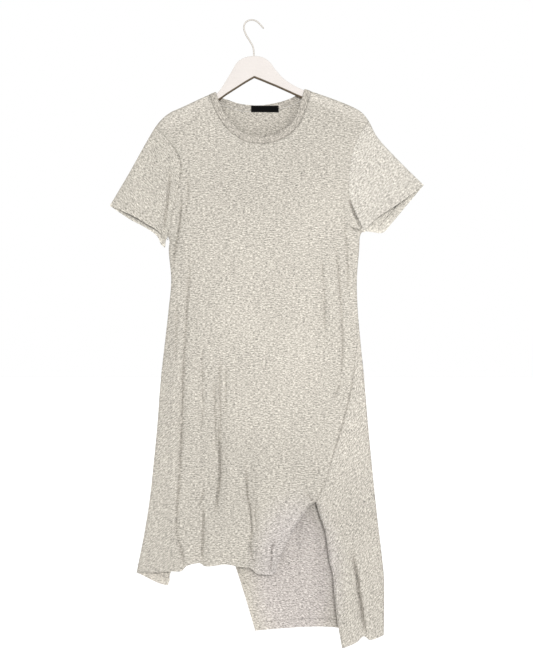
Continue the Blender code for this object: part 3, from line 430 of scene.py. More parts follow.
UNDER_SHOULDER = 0.0036      # from the cloth's fold down to the board, where top is None
HANGER_TIP_SHARE, HANGER_TIP_REACH = 0.55, 0.003    # the board's ends are thinner
HANGER_STEPS, CORNER_STEPS = 260, 5
HANGER_PEAK = 0.0035         # x at which the lower edge comes to its point

HOOK_ROUTE = (
    (0.0030, -0.0805), (0.0010, -0.0600), (-0.0060, -0.0463), (-0.0150, -0.0315), (-0.0197, -0.0170),
    (-0.0175, -0.0062), (-0.0100, 0.0001), (-0.0010, 0.0017), (0.0085, -0.0012), (0.0175, -0.0092),
    (0.0250, -0.0180),
)
HOOK_POINTS = 120
HOOK_END, HOOK_GROWTH = 0.45, 0.25    # share of the radius at its tip, and more at each point

# ---------------------------------------------------------------- looks and cuts
# Grain of each piece: the angle of the heather's flecks, in degrees anticlockwise.
GRAIN = {
    "front_main": 0.0,
    "front_side_panel": 60.0,
    "back_panel": -12.0,
    "sleeve_left": -49.0,
    "sleeve_right": 44.0,
}
TWIST_SLOPE = 0.68           # rise of the flecks left of the long left crease
TWIST_START = (0.50, 0.80)   # distances down over which it sets in

# Mean colour of each piece and of the wrong side of the cloth.
TONES = {
    "front_main": (0.333, 0.312, 0.274),
    "front_side_panel": (0.342, 0.320, 0.282),
    "back_panel": (0.333, 0.312, 0.274),
    "sleeve_left": (0.344, 0.323, 0.283),
    # painted light: the right sleeve is lighter than the left, as light falls from the right
    "sleeve_right": (0.370, 0.349, 0.311),
    "neckband": (0.293, 0.272, 0.238),
}
# the wrong side and the sleeves' inside are lighter than the face: painted light that offsets the shade
# inside the garment
WRONG_SIDE_PAINTED_LIGHT = (0.370, 0.344, 0.300)
SLEEVE_INSIDE_PAINTED_LIGHT = (0.415, 0.391, 0.345)
# lightening that the painted light multiplies into the cloth's colour
PAINTED_LIGHT_TINT = (1.15, 1.15, 1.16)
WHITE = (1.0, 1.0, 1.0)
THREADS = {
    "ecru_thread": (0.345, 0.323, 0.284),
    # looper thread: a real thread, but its dark colour is partly painted shade of the stitch groove
    "looper_thread_painted_shade": (0.130, 0.120, 0.108),
    "black_thread": (0.02, 0.02, 0.02),
}

# Heather flecks: size along and across the course of the knit. The last are single fibres.
Fleck = namedtuple("Fleck", "size detail roughness weight")
HEATHER = (
    Fleck((0.0170, 0.0026, 1.0), 3.0, 0.6, 0.16),
    Fleck((0.0056, 0.0022, 1.0), 3.0, 0.6, 0.45),
    Fleck((0.0030, 0.0012, 1.0), 2.0, 0.6, 0.29),
    Fleck((0.0009, 0.0004, 1.0), 2.0, 0.5, 0.07),
)
CLOUD = Fleck((0.16, 0.16, 0.16), 2.0, 0.5, 0.03)    # slow change over the whole garment
WALE, COURSE = 0.00125, 0.0011     # width and height of one knitted stitch
WEFT, WARP = 0.00045, 0.00060      # ribs of the woven label
WALE_RELIEF, COURSE_RELIEF, FLECK_RELIEF = 0.21, 0.0875, 1.2

# Stops of the colour ramps, with shares of a colour or colours.
HEATHER_SHADES = ((0.385, 0.24), (0.456, 0.70), (0.535, 1.16), (0.622, 2.00))
THREAD_SHADES = ((0.35, 0.88), (0.65, 1.10))
LABEL_SHADES = ((0.30, 0.001), (0.75, 0.005))
FLOOR_SHADES = ((0.3, 0.90), (0.7, 0.93))
PAINT = ((0.35, (0.436, 0.406, 0.384)), (0.52, (0.451, 0.420, 0.397)), (0.70, (0.465, 0.436, 0.415)))
# painted shade of the board's underside, in two browns
UNDERSIDE_PAINTED_SHADE = ((0.35, (0.042, 0.028, 0.015)), (0.65, (0.100, 0.073, 0.043)))
PAINTED_SHADE_FROM = (-0.12, -0.30)         # z of the board's normals over which the painted shade of the underside comes in
STEEL = ((0.30, (0.36, 0.335, 0.305)), (0.70, (0.43, 0.405, 0.37)))

# Soft patches of another tone: a lilac tint round the slits, and painted shade inside the back of the
# neck.
Patch = namedtuple("Patch", "centre size tint")
PATCH_CORE = 0.5                   # share of a patch's size inside which it is even
SLIT_PATCH = Patch((0.098, 0.0, -1.250), (0.122, 9.0, 0.220), (1.0, 0.989, 1.059))
# painted shade: darkens the wrong side inside the back of the neck
NECK_PAINTED_SHADE = Patch((0.018, 0.0, -0.220), (0.260, 9.0, 0.240), (0.893, 0.893, 0.893))

# What each piece is cut to: width, length and flat area.
Cut = namedtuple("Cut", "width length area")

# ---------------------------------------------------------------- view
VIEW_AIM = (0.0310, -0.0100, -0.7010)
VIEW_HEIGHT = 1.492          # of the plane through the aim that fills the picture
VIEW_DISTANCE, VIEW_LIMIT = 5.0, 200.0
FLOOR_Z, FLOOR_REACH = -1.62, 40.0
LIGHTS = (                   # name, strength, softness in degrees and direction of the light
    ("key", 2.42, 8.0, (-0.06, 0.96, -0.17)),
    ("side", 0.6, 50.0, (-0.80, 0.50, -0.20)),
    ("behind", 1.9, 30.0, (0.30, -0.90, -0.30)),
)
SPOT_POWER, SPOT_WIDTH, SPOT_RADIUS = 46.0, 22.0, 0.10    # watts, degrees across, metres
SPOT_FROM, SPOT_AT = (0.30, -2.30, -0.50), (0.195, 0.0, -0.640)


# ================================================================ curves
def smooth_curve(knots, step=CURVE_STEP):
    """Closely spaced points on a smooth curve through the knots."""
    knots = np.array(knots, dtype=float)
    chord = np.linalg.norm(np.diff(knots, axis=0), axis=1)
    gap = np.sqrt(chord)
    speed = np.diff(knots, axis=0) / gap[:, None]
    tangent = np.empty_like(knots)
    tangent[0], tangent[-1] = speed[0], speed[-1]
    before, after = gap[:-1, None], gap[1:, None]
    tangent[1:-1] = (speed[:-1] * after + speed[1:] * before) / (before + after)
    points = [knots[:1]]
    for i, length in enumerate(chord):
        count = max(2, int(np.ceil(length / step)))
        t = (np.arange(1, count + 1) / count)[:, None]
        points.append(
            (2 * t**3 - 3 * t**2 + 1) * knots[i]
            + (t**3 - 2 * t**2 + t) * gap[i] * tangent[i]
            + (3 * t**2 - 2 * t**3) * knots[i + 1]
            + (t**3 - t**2) * gap[i] * tangent[i + 1]
        )
    return np.concatenate(points)


def lengths(curve):
    """Length along the curve at each of its points."""
    return np.concatenate(([0.0], np.cumsum(np.linalg.norm(np.diff(curve, axis=0), axis=1))))


def at_length(curve, distance):
    """Points at the given lengths along the curve."""
    run = lengths(curve)
    return np.stack([np.interp(distance, run, curve[:, k]) for k in range(curve.shape[1])], axis=-1)


def at_share(curve, share):
    """Points at the given shares of the curve's length."""
    return at_length(curve, np.asarray(share) * lengths(curve)[-1])


def length_near(curve, point):
    """Length along the curve at which it passes nearest to a point."""
    fine = np.linspace(0.0, lengths(curve)[-1], NEAR_POINTS)
    return fine[np.linalg.norm(at_length(curve, fine) - np.array(point), axis=1).argmin()]


def unit(vectors):
    """The vectors, each divided by its length."""
    return vectors / np.linalg.norm(vectors, axis=-1)[..., None]


def leftward(curve):
    """Directions to the left of the way along a curve, in the (x, z) plane."""
    way = np.gradient(curve, lengths(curve), axis=0)
    return np.stack((-way[:, 1], way[:, 0]), axis=1)


def even(count):
    """Even shares from 0 to 1."""
    return np.linspace(0.0, 1.0, count + 1)


def split(shares, parts):
    """The same shares with each step between them cut into equal parts."""
    last = len(shares) - 1
    return np.interp(np.linspace(0, last, last * parts + 1), np.arange(last + 1), shares)


SHOULDER = split(SHOULDER_SHARES, SHOULDER_SPLIT)
NECK = split(NECK_SHARES, NECK_SPLIT)
ARMHOLE = split(ARMHOLE_SHARES, ARMHOLE_SPLIT)
BAND = 0.5 - 0.5 * np.cos(np.pi * even(BAND_STEPS))
TOPS = {"left": smooth_curve(TOP_LEFT), "right": smooth_curve(TOP_RIGHT)}
SIDES = {"left": smooth_curve(SIDE_LEFT), "right": smooth_curve(SIDE_RIGHT)}
TIPS = dict(zip(HANDS, SHOULDER_TIPS))
PITS = dict(zip(HANDS, UNDERARMS))
TWIST_LINE = smooth_curve(CREASES["front"][0].route[:4] + CREASES["front"][2].route)


# ================================================================ depth of the garment
def smooth_step(value, low, high):
    """0 below low, 1 above high, and a smooth rise between them."""
    share = np.clip((value - low) / (high - low), 0.0, 1.0)
    return share * share * (3.0 - 2.0 * share)


def faded(share, end):
    """1 along the middle of a run, and a smooth fall to 0 over the share at each end."""
    return smooth_step(share, 0.0, end) * (1.0 - smooth_step(share, 1.0 - end, 1.0))


def bell(distance):
    """1 at no distance, and a smooth fall to 0 on both sides."""
    return np.exp(-(distance**2))


def within(value, low, high):
    """Distance of a value from the nearer limit, below 0 outside both."""
    return np.minimum(value - low, high - value)


def beside(flat, curve):
    """Offset of flat points from a curve, the share of its length there, and the side.

    The side is +1 on the left of the way along the curve in the (x, z) plane.
    """
    step = np.diff(curve, axis=0)
    size = (step**2).sum(axis=1)
    run = lengths(curve)
    offsets, share, side = np.empty_like(flat), np.empty(len(flat)), np.empty(len(flat))
    for start in range(0, len(flat), BLOCK):
        block = slice(start, start + BLOCK)
        offset = flat[block, None, :] - curve[None, :-1]
        along = np.clip((offset * step).sum(axis=2) / size, 0.0, 1.0)
        miss = offset - along[..., None] * step
        nearest = (miss**2).sum(axis=2).argmin(axis=1)
        row = np.arange(len(nearest))
        share[block] = (run[nearest] + along[row, nearest] * np.sqrt(size[nearest])) / run[-1]
        way, out = step[nearest], miss[row, nearest]
        offsets[block] = out
        side[block] = np.where(way[:, 0] * out[:, 1] >= way[:, 1] * out[:, 0], 1.0, -1.0)
    return offsets, share, side


def away_from(flat, curve):
    """Distance of flat points from a curve."""
    return np.linalg.norm(beside(flat, curve)[0], axis=1)


def close_to(flat, curve, reach):
    """Indices of the flat points inside the curve's box, grown by a reach."""
    inside = (flat > curve.min(axis=0) - reach) & (flat < curve.max(axis=0) + reach)
    return np.flatnonzero(inside.all(axis=1))


def rim_profile(x):
    """Depth and reach of the rounded rim over the hanger, at each x."""
    (left_out, left_in), (right_in, right_out) = HANGER_ENDS
    share = smooth_step(x, left_out, left_in) * (1.0 - smooth_step(x, right_in, right_out))
    rim = BODY_RIM + (SHOULDER_RIM - BODY_RIM) * share
    reach = BODY_RIM_REACH + (SHOULDER_RIM_REACH - BODY_RIM_REACH) * share
    return rim, reach


def half_depth(flat):
    """Distance of the outer face from the middle plane, before folds."""
    heights, depths = zip(*SWELLS)
    swell = np.interp(flat[:, 1], heights, depths)
    total = np.zeros(len(flat))
    for curve in (TOPS["left"], TOPS["right"], SIDES["left"], SIDES["right"]):
        distance = away_from(flat, curve)
        over_hanger = curve is TOPS["left"] or curve is TOPS["right"]
        rim, reach = rim_profile(flat[:, 0]) if over_hanger else (BODY_RIM, BODY_RIM_REACH)
        depth = rim * np.sqrt(np.tanh(distance / reach)) + swell * np.tanh(distance / SWELL_REACH)
        total += np.maximum(depth, TINY) ** -EDGE_BLEND
    depth = total ** (-1.0 / EDGE_BLEND)
    return np.where(depth < 2.0 * TINY, 0.0, depth)


def fold_change(flat, folds):
    """Relative change of the depth that the folds make."""
    x, z = flat.T
    change = np.zeros(len(flat))
    for fold in folds:
        run = np.clip((fold.top - z) / (fold.top - fold.bottom), 0.0, 1.0)
        middle = (
            fold.x_top * (1.0 - run) * (1.0 - 2.0 * run)
            + fold.x_middle * 4.0 * run * (1.0 - run)
            + fold.x_bottom * run * (2.0 * run - 1.0)
        )
        across = (x - middle) / fold.half_width
        shape = bell(across) - TROUGH_SHARE * bell(across - TROUGH_OFFSET * fold.trough)
        change += fold.height * faded(run, FOLD_FADE) * shape
    return change


def crease_change(flat, creases):
    """Depth that the creases add: a narrow trough with a rounded ridge beside it."""
    change = np.zeros(len(flat))
    for crease in creases:
        curve = smooth_curve(crease.route, CREASE_STEP)
        near = close_to(flat, curve, CREASE_REACH * crease.half_width)
        offset, share, side = beside(flat[near], curve)
        across = np.linalg.norm(offset, axis=1) * side / crease.half_width
        ridge = bell((across - RIDGE_OFFSET * crease.side) / RIDGE_SPREAD)
        shape = crease.ridge * ridge - crease.depth * bell(across)
        change[near] += faded(share, CREASE_FADE) * shape
    return change


def ripple_change(flat):
    """Depth that the low waves of the hanging cloth add."""
    x, z = flat.T
    high, low = RIPPLE_GROWTH
    growth = np.interp(-z, (-high, -low), (RIPPLE_START, 1.0))
    return growth * sum(
        row.amplitude * np.sin(2.0 * np.pi * (x / row.wide + z / row.tall) + row.start)
        for row in RIPPLES
    )


def drawn_in(grid, layer, hems):
    """The grid with its points drawn towards sharp creases and stitch lines, to bring them out."""
    rows, columns = np.indices(grid.shape[:2])
    edge = np.minimum(within(rows, 0, rows.max()), within(columns, 0, columns.max()))
    free = smooth_step(edge, 0, DRAW_EDGE).ravel()
    flat = grid.reshape(-1, 2).copy()
    curves = [smooth_curve(row.route) for row in CREASES[layer] if row.half_width <= SHARP]
    for curve in curves + [stitch_line(hem) for hem in hems]:
        near = close_to(flat, curve, DRAW_LIMIT)
        offset, share, _ = beside(flat[near], curve)
        closeness = np.exp(-(offset**2).sum(axis=1) / DRAW_REACH**2)
        flat[near] -= (DRAW_SHARE * free[near] * faded(share, DRAW_FADE) * closeness)[:, None] * offset
    return flat.reshape(grid.shape)


# A hem's edge, the width of the hem, the side of the edge on which its cloth lies, how far
# the edge itself rolls in, and over what width.
Hem = namedtuple("Hem", "curve width side roll roll_width")


def stitch_line(hem, shift=0.0):
    """Line of a hem's stitching, or one beside it."""
    return hem.curve + hem.side * unit(leftward(hem.curve)) * (hem.width + shift)


def hem_profile(flat, hem):
    """Distance from a hem's edge, 1 where it is folded double, and 1 on its stitching."""
    distance = away_from(flat, hem.curve)
    doubled = 1.0 - smooth_step(distance, hem.width, hem.width + HEM_STEP)
    return distance, doubled, bell((distance - hem.width) / STITCH_GROOVE_WIDTH)


def cloth_thickness(grid, hems):
    """Thickness of the cloth, with hems folded double and pinched along their stitching."""
    flat = grid.reshape(-1, 2)
    thickness = np.full(len(flat), CLOTH)
    for hem in hems:
        _, doubled, stitched = hem_profile(flat, hem)
        thickness += HEM_FOLD * doubled
        thickness -= STITCH_PINCH * stitched
    return np.maximum(thickness, THINNEST).reshape(grid.shape[:2] + (1,))


# A seam, and the depth of its groove at even shares of its length.
Seam = namedtuple("Seam", "curve depths")


def sewn_change(flat, hems, seams):
    """Depth that doubled hems, their stitching and the grooves of the seams add."""
    change = np.zeros(len(flat))
    for hem in hems:
        distance, doubled, stitched = hem_profile(flat, hem)
        change += HEM_RAISE * doubled
        change -= STITCH_GROOVE * stitched
        change -= hem.roll * bell(distance / hem.roll_width)
    for seam in seams:
        offset, share, _ = beside(flat, seam.curve)
        depth = np.interp(share, even(len(seam.depths) - 1), seam.depths)
        change -= depth * np.exp(-(offset**2).sum(axis=1) / SEAM_WIDTH**2)
    return change


def outer_face(grid, layer, hems=(), seams=(), gap=0.0):
    """Points of the garment's outer face over a grid of flat points."""
    flat = grid.reshape(-1, 2)
    base = half_depth(flat)
    small = crease_change(flat, CREASES[layer]) + ripple_change(flat) + sewn_change(flat, hems, seams)
    depth = base * (1.0 + fold_change(flat, FOLDS[layer])) + smooth_step(base, 0.0, CREASE_EDGE) * small
    depth = np.maximum(depth, SHALLOWEST * base)
    face = np.stack((flat[:, 0], OUT[layer] * (depth + gap), flat[:, 1]), axis=1)
    return face.reshape(grid.shape[:2] + (3,))


def face_normals(face, layer, gap=0.0):
    """Unit normals that point out of the garment. On a folded edge they have no y."""
    normal = np.cross(np.gradient(face, axis=0), np.gradient(face, axis=1))
    if OUT[layer] * normal[..., 1].sum() < 0.0:
        normal = -normal
    normal[np.abs(face[..., 1]) < gap + TINY, 1] = 0.0
    return normal / np.maximum(np.linalg.norm(normal, axis=2), SMALLEST)[..., None]


# ================================================================ boundaries
def pull(side, amount):
    """Points at the shoulder tip and underarm, moved onto the sleeve along the folds."""
    top, flank = TOPS[side], SIDES[side]
    shoulder = at_length(top, length_near(top, TIPS[side]) + amount)
    return shoulder, at_length(flank, length_near(flank, PITS[side]) - amount)


def armhole(side, layer, amount):
    """Armhole seam from the shoulder tip down to the underarm."""
    shoulder, underarm = pull(side, amount)
    inner = np.array(ARMHOLES[side, layer]) + (OUTWARD[side] * amount, 0.0)
    return at_share(smooth_curve([shoulder, *inner, underarm]), ARMHOLE)


def armhole_groove(side, layer):
    """Groove of the armhole seam."""
    return Seam(armhole(side, layer, 0.0), SEAM_DEPTHS[side, layer])


def sleeve_hem(side, layer):
    """Hem of a sleeve from the top fold to the underside."""
    return smooth_curve([TOPS[side][-1], *SLEEVE_HEMS[side, layer], SIDES[side][0]])


def neck_seam(layer, amount):
    """Seam under the neckband, from left to right; amount moves it into the neck."""
    ends = [at_length(TOPS[side], BAND_WIDTH - amount) for side in HANDS]
    seam = at_share(smooth_curve([ends[0], *NECK_SEAMS[layer], ends[1]], NECK_STEP), NECK)
    seam[1:-1] += amount * inward_of(seam)[1:-1]
    return seam


def inward_of(seam):
    """Unit directions from the neck seam into the neck opening.

    At both ends they turn into the direction along the shoulder.
    """
    inward = leftward(seam)
    run = lengths(seam)
    for distance, side in ((run, "left"), (run[-1] - run, "right")):
        along = TOPS[side][0] - at_length(TOPS[side], BAND_WIDTH)
        share = smooth_step(distance, 0.0, BAND_TURN)[:, None]
        inward = share * inward + (1.0 - share) * unit(along)
    return unit(inward)


def shoulder_seam(side):
    """Shoulder seam of the body from the shoulder tip to the neckband."""
    tip = length_near(TOPS[side], TIPS[side]) - HALF_GAP
    neck = BAND_WIDTH + HALF_GAP
    return at_length(TOPS[side], tip + (neck - tip) * SHOULDER)


def flank(side, start, end, shares):
    """Stretch of a side seam between two points that lie on it."""
    curve = SIDES[side]
    first, last = length_near(curve, start), length_near(curve, end)
    return at_length(curve, first + (last - first) * np.asarray(shares))


def body_flank(side, end, steps):
    """Side seam of the body below the underarm, down to a point on it."""
    return flank(side, pull(side, -HALF_GAP)[1], end, even(steps))[1:]


def diagonal_seam(amount):
    """Diagonal seam of the front; amount moves it onto the side panel."""
    total = lengths(DIAGONAL_CURVE)[-1]
    distance = DIAGONAL_START + (total - DIAGONAL_START) * even(DIAGONAL_STEPS)
    return at_length(DIAGONAL_CURVE, distance) + (amount, 0.0)


def body_top(layer):
    """Upper boundary of a body panel: shoulder, neckline, shoulder."""
    left, right = shoulder_seam("left"), shoulder_seam("right")[::-1]
    return np.concatenate((left[:-1], neck_seam(layer, -HALF_GAP), right[1:]))


def body_across():
    """Share of the width at which each column of a body panel stands."""
    left, right = SHOULDER_ACROSS
    middle = left + (right - left) * even(len(NECK) - 1)
    return np.concatenate((left * SHOULDER[:-1], middle, 1.0 - (1.0 - right) * SHOULDER[-2::-1]))


def height_shares(left, right):
    """Share of the height at which each row stands, as the mean of both sides."""
    return 0.5 * (lengths(left) / lengths(left)[-1] + lengths(right) / lengths(right)[-1])


def patch(top, bottom, left, right, across):
    """Flat grid between four boundaries, which keep their own points."""
    run = height_shares(left, right)[:, None, None]
    width = np.broadcast_to(across, (len(left), len(top)))[..., None]
    rows = (1.0 - width) * left[:, None] + width * right[:, None]
    top_bulge, bottom_bulge = top - rows[0], bottom - rows[-1]
    return rows + (1.0 - run) ** TOP_FADE * top_bulge + run**BOTTOM_FADE * bottom_bulge


def body_patch(layer, bottom, flanks):
    """Patch between shoulders, neckline, armholes, the stretches below them and the hem."""
    top = body_top(layer)
    holes = [armhole(side, layer, -HALF_GAP) for side in HANDS]
    share = ARMHOLE[:, None]
    chords = [hole[0] + share * (hole[-1] - hole[0]) for hole in holes]
    left, right = (np.concatenate((chord, low)) for chord, low in zip(chords, flanks))

    below_top = (top[:, 0] - top[0, 0]) / (top[-1, 0] - top[0, 0])
    spread = smooth_step(height_shares(left, right), 0.0, NECK_SPREAD)[:, None]
    across = below_top + spread * (body_across() - below_top)
    grid = patch(top, bottom, left, right, across)

    rows = len(share)
    power = np.interp(share, (0.0, ARMHOLE_FADE_END), ARMHOLE_FADE)
    nearness = (1.0 - across[:rows]) ** power, across[:rows] ** power
    for near, hole, chord in zip(nearness, holes, chords):
        grid[:rows] += near[..., None] * (hole - chord)[:, None]
    return grid


# ================================================================ hems
DIAGONAL_CURVE = smooth_curve([SEAM_START, *DIAGONAL, SLIT_TOP])
MAIN_HEM_CURVE = smooth_curve([SIDE_LEFT[-1], *MAIN_HEM, MAIN_TIP])
SLIT_MAIN_CURVE = smooth_curve([SLIT_TOP, *SLIT_MAIN, MAIN_TIP])
SLIT_SIDE_CURVE = smooth_curve([SLIT_TOP, *SLIT_SIDE, SIDE_TIP])
SIDE_HEM_CURVE = smooth_curve([SIDE_TIP, *SIDE_HEM, SIDE_RIGHT[-1]])
BACK_CORNERS = (SIDE_LEFT[-1], BACK_TIP_LEFT, BACK_SLIT_TOP, BACK_TIP_RIGHT, SIDE_RIGHT[-1])
BACK_BETWEEN = (BACK_HEM_LEFT, BACK_SLIT_LEFT, BACK_SLIT_RIGHT, BACK_HEM_RIGHT)
BACK_CURVES = [
    smooth_curve([start, *inner, end])
    for start, inner, end in zip(BACK_CORNERS[:-1], BACK_BETWEEN, BACK_CORNERS[1:])
]
BACK_WIDTHS = (HEM_WIDTH, SLIT_HEM_WIDTH, SLIT_HEM_WIDTH, HEM_WIDTH)
HEMS = {
    "front_main": (
        Hem(MAIN_HEM_CURVE, HEM_WIDTH, +1, 0.0, ROLL_WIDTH),
        Hem(SLIT_MAIN_CURVE, SLIT_HEM_WIDTH, -1, SLIT_ROLL, ROLL_WIDTH),
    ),
    "front_side_panel": (
        Hem(SIDE_HEM_CURVE, HEM_WIDTH, +1, 0.0, ROLL_WIDTH),
        Hem(SLIT_SIDE_CURVE, SLIT_HEM_WIDTH, +1, SLIT_ROLL, ROLL_WIDTH),
    ),
    "back_panel": [Hem(*row, +1, 0.0, ROLL_WIDTH) for row in zip(BACK_CURVES, BACK_WIDTHS)],
    **{
        f"sleeve_{side}_{layer}": (
            Hem(sleeve_hem(side, layer), HEM_WIDTH, -OUTWARD[side], SLEEVE_ROLL, SLEEVE_ROLL_WIDTH),
        )
        for side in HANDS for layer in LAYERS
    },
}


# ================================================================ flat grids
def hem_points(hem, left, right, across):
    """Points of a hem at shares of its width, between the ends of both sides."""
    x = left[-1, 0] + (right[-1, 0] - left[-1, 0]) * across
    points = np.stack((x, np.interp(x, hem[:, 0], hem[:, 1])), axis=1)
    points[0], points[-1] = left[-1], right[-1]
    return points


def front_main_grid():
    """Front with the shoulders, the armholes and the free edge of the slit."""
    left = body_flank("left", SIDE_LEFT[-1], SIDE_STEPS + 1 + DIAGONAL_STEPS + SLIT_STEPS)
    seam = diagonal_seam(-HALF_GAP)
    slit = at_share(smooth_curve([seam[-1], *SLIT_MAIN, MAIN_TIP]), even(SLIT_STEPS))[1:]
    right = np.concatenate((body_flank("right", SEAM_START, SIDE_STEPS), seam, slit))
    hem = hem_points(MAIN_HEM_CURVE, left, right, body_across())
    return body_patch("front", hem, (left, right))


def front_side_grid():
    """Side panel between the diagonal seam, the slit, its hem and the right side seam."""
    across = split(PANEL_ACROSS, PANEL_SPLIT)
    seam = diagonal_seam(HALF_GAP)
    slit = at_share(smooth_curve([seam[-1], *SLIT_SIDE, SIDE_TIP]), even(SLIT_SIDE_STEPS))[1:]
    left = np.concatenate((seam, slit))
    start = at_length(SIDES["right"], length_near(SIDES["right"], SEAM_START) + DIAGONAL_START)
    right = flank("right", start, SIDE_RIGHT[-1], lengths(left) / lengths(left)[-1])
    top = left[0] + across[:, None] * (right[0] - left[0])
    return patch(top, hem_points(SIDE_HEM_CURVE, left, right, across), left, right, across)


def back_grid():
    """Back with its own slit."""
    flanks = [body_flank(side, SIDES[side][-1], BACK_SIDE_STEPS) for side in HANDS]
    bottom = [flanks[0][-1:]]
    for curve, steps in zip(BACK_CURVES, BACK_HEM_STEPS):
        bottom.append(at_share(curve, even(steps))[1:])
    return body_patch("back", np.concatenate(bottom), flanks)


def sleeve_grid(side, layer):
    """One face of a sleeve, from the armhole to its hem."""
    across = even(SLEEVE_STEPS)
    shoulder_end = length_near(TOPS[side], TIPS[side]) + HALF_GAP
    top_length = lengths(TOPS[side])[-1]
    top = at_length(TOPS[side], shoulder_end + (top_length - shoulder_end) * across)
    under_start = length_near(SIDES[side], PITS[side]) - HALF_GAP
    under = at_length(SIDES[side], under_start * (1.0 - across))
    hem = at_share(sleeve_hem(side, layer), ARMHOLE)
    return patch(top, under, armhole(side, layer, HALF_GAP), hem, across)


def band_grid(layer):
    """Neckband, whose first axis runs from left to right and second from seam to edge."""
    seam = neck_seam(layer, HALF_GAP)
    free = seam + (BAND_WIDTH - HALF_GAP) * inward_of(seam)
    free[0], free[-1] = TOPS["left"][0], TOPS["right"][0]
    share = BAND[None, :, None]
    return seam[:, None] * (1.0 - share) + free[:, None] * share


# ================================================================ meshes
def add_object(name, data):
    """New object with this data, in the scene."""
    item = bpy.data.objects.new(name, data)
    bpy.context.scene.collection.objects.link(item)
    return item


def mesh_object(name, points, faces, grain=None, lined=0, painted_light=None):
    """Smooth mesh object with its faces pointing out.

    For cloth, grain gives the UVs, lined the number of outer faces after which as many inner ones follow,
    and the last argument the painted light at each point: how much the colour is brightened where the
    board shows through the cloth, and on the back's left tip.
    """
    mesh = bpy.data.meshes.new(name)
    mesh.from_pydata(np.asarray(points).tolist(), [], [list(map(int, face)) for face in faces])
    if grain is not None:
        layer = mesh.uv_layers.new(name="grain")
        corner = np.empty(len(mesh.loops), dtype=np.int32)
        mesh.loops.foreach_get("vertex_index", corner)
        layer.data.foreach_set("uv", np.asarray(grain, dtype=np.float32)[corner].ravel())
    if lined:
        sides = np.zeros(len(faces), dtype=np.int32)
        sides[lined:2 * lined] = 1
        mesh.polygons.foreach_set("material_index", sides)
    if painted_light is not None:
        mesh.attributes.new("painted_light", "FLOAT", "POINT").data.foreach_set("value", painted_light)
    shape = bmesh.new()
    shape.from_mesh(mesh)
    bmesh.ops.recalc_face_normals(shape, faces=shape.faces)
    shape.to_mesh(mesh)
    shape.free()
    mesh.shade_smooth()
    mesh.set_sharp_from_angle(angle=np.radians(SHARP_ANGLE))
    return add_object(name, mesh)


def wall_faces(rows, columns, ring):
    """Quads of a wall: outer grid, inner grid, and the strips that join their edges."""
    index = np.arange(rows * columns).reshape(rows, columns)
    if ring:
        index = np.vstack((index, index[:1]))
    inner = rows * columns
    a, b, c, d = index[:-1, :-1], index[:-1, 1:], index[1:, 1:], index[1:, :-1]
    outside = np.stack((a, b, c, d), axis=-1).reshape(-1, 4)
    inside = np.stack((d, c, b, a), axis=-1).reshape(-1, 4) + inner
    edges = [index[:, 0], index[:, -1]]
    if not ring:
        edges += [index[0], index[-1]]
    strips = [
        np.stack((line[:-1], line[1:], line[1:] + inner, line[:-1] + inner), axis=-1)
        for line in edges
    ]
    return np.concatenate((outside, inside, *strips))


def shell(name, outer, inner, grain, ring=False, lined=True, painted_light=None):
    """Closed wall between two grids of points; a ring also joins its last row to its first."""
    rows, columns = outer.shape[:2]
    points = np.concatenate((outer.reshape(-1, 3), inner.reshape(-1, 3)))
    count = (rows if ring else rows - 1) * (columns - 1)
    twice = np.tile(grain.reshape(-1, 2), (2, 1))
    return mesh_object(
        name, points, wall_faces(rows, columns, ring), twice, count if lined else 0,
        None if painted_light is None else np.tile(painted_light.ravel(), 2),
    )


def joined(front, back):
    """Ring of a front and a back grid that meet on the folded edges."""
    return np.concatenate((front, back[-2:0:-1]))


def grain_of(grid, angle):
    """Flat points turned so that the heather's flecks lie along the first axis."""
    turn = np.radians(angle)
    x, z = grid[..., 0], grid[..., 1]
    return np.stack((x * np.cos(turn) + z * np.sin(turn), z * np.cos(turn) - x * np.sin(turn)), axis=-1)


def main_grain(grid):
    """Grain of the front: level, and rising to the right beyond the long left crease."""
    x, z = grid[..., 0], grid[..., 1]
    beyond = np.interp(-z, -TWIST_LINE[:, 1], TWIST_LINE[:, 0]) - x
    rise = TWIST_SLOPE * smooth_step(-z, *TWIST_START) * np.maximum(beyond, 0.0)
    return np.stack((x, z + rise), axis=-1)


def hanger_painted_light(grid):
    """Painted light where the pale hanger shows through the cloth: up to 1 over its board."""
    x, z = grid[..., 0], grid[..., 1]
    stations = [row.x for row in HANGER_SECTIONS]
    top = np.interp(x, stations, [board_top(row) for row in HANGER_SECTIONS])
    bottom = np.interp(x, stations, [row.bottom for row in HANGER_SECTIONS])
    inside = np.minimum(within(z, bottom, top), within(x, stations[0], stations[-1]))
    return np.interp(x, *PAINTED_LIGHT_SHARES) * smooth_step(inside, *PAINTED_LIGHT_EDGE)


def tip_painted_light(grid):
    """Painted light on the back's left tip: 1 where no front hangs before it."""
    return smooth_step(-grid[..., 0], *TIP_PAINTED_LIGHT_X) * smooth_step(-grid[..., 1], *TIP_PAINTED_LIGHT_Z)


def panel(name, grid, layer, seams, grain):
    """Body panel, half a seam gap clear of the middle plane."""
    outer = outer_face(grid, layer, HEMS[name], seams, gap=HALF_GAP)
    normal = face_normals(outer, layer, gap=HALF_GAP)
    inner = outer - cloth_thickness(grid, HEMS[name]) * normal
    # painted light over the hanger's board, and on the back's left tip
    painted_light = np.maximum(hanger_painted_light(grid), tip_painted_light(grid) if layer == "back" else 0.0)
    return shell(f"{name}_cloth", outer, inner, grain, painted_light=painted_light)


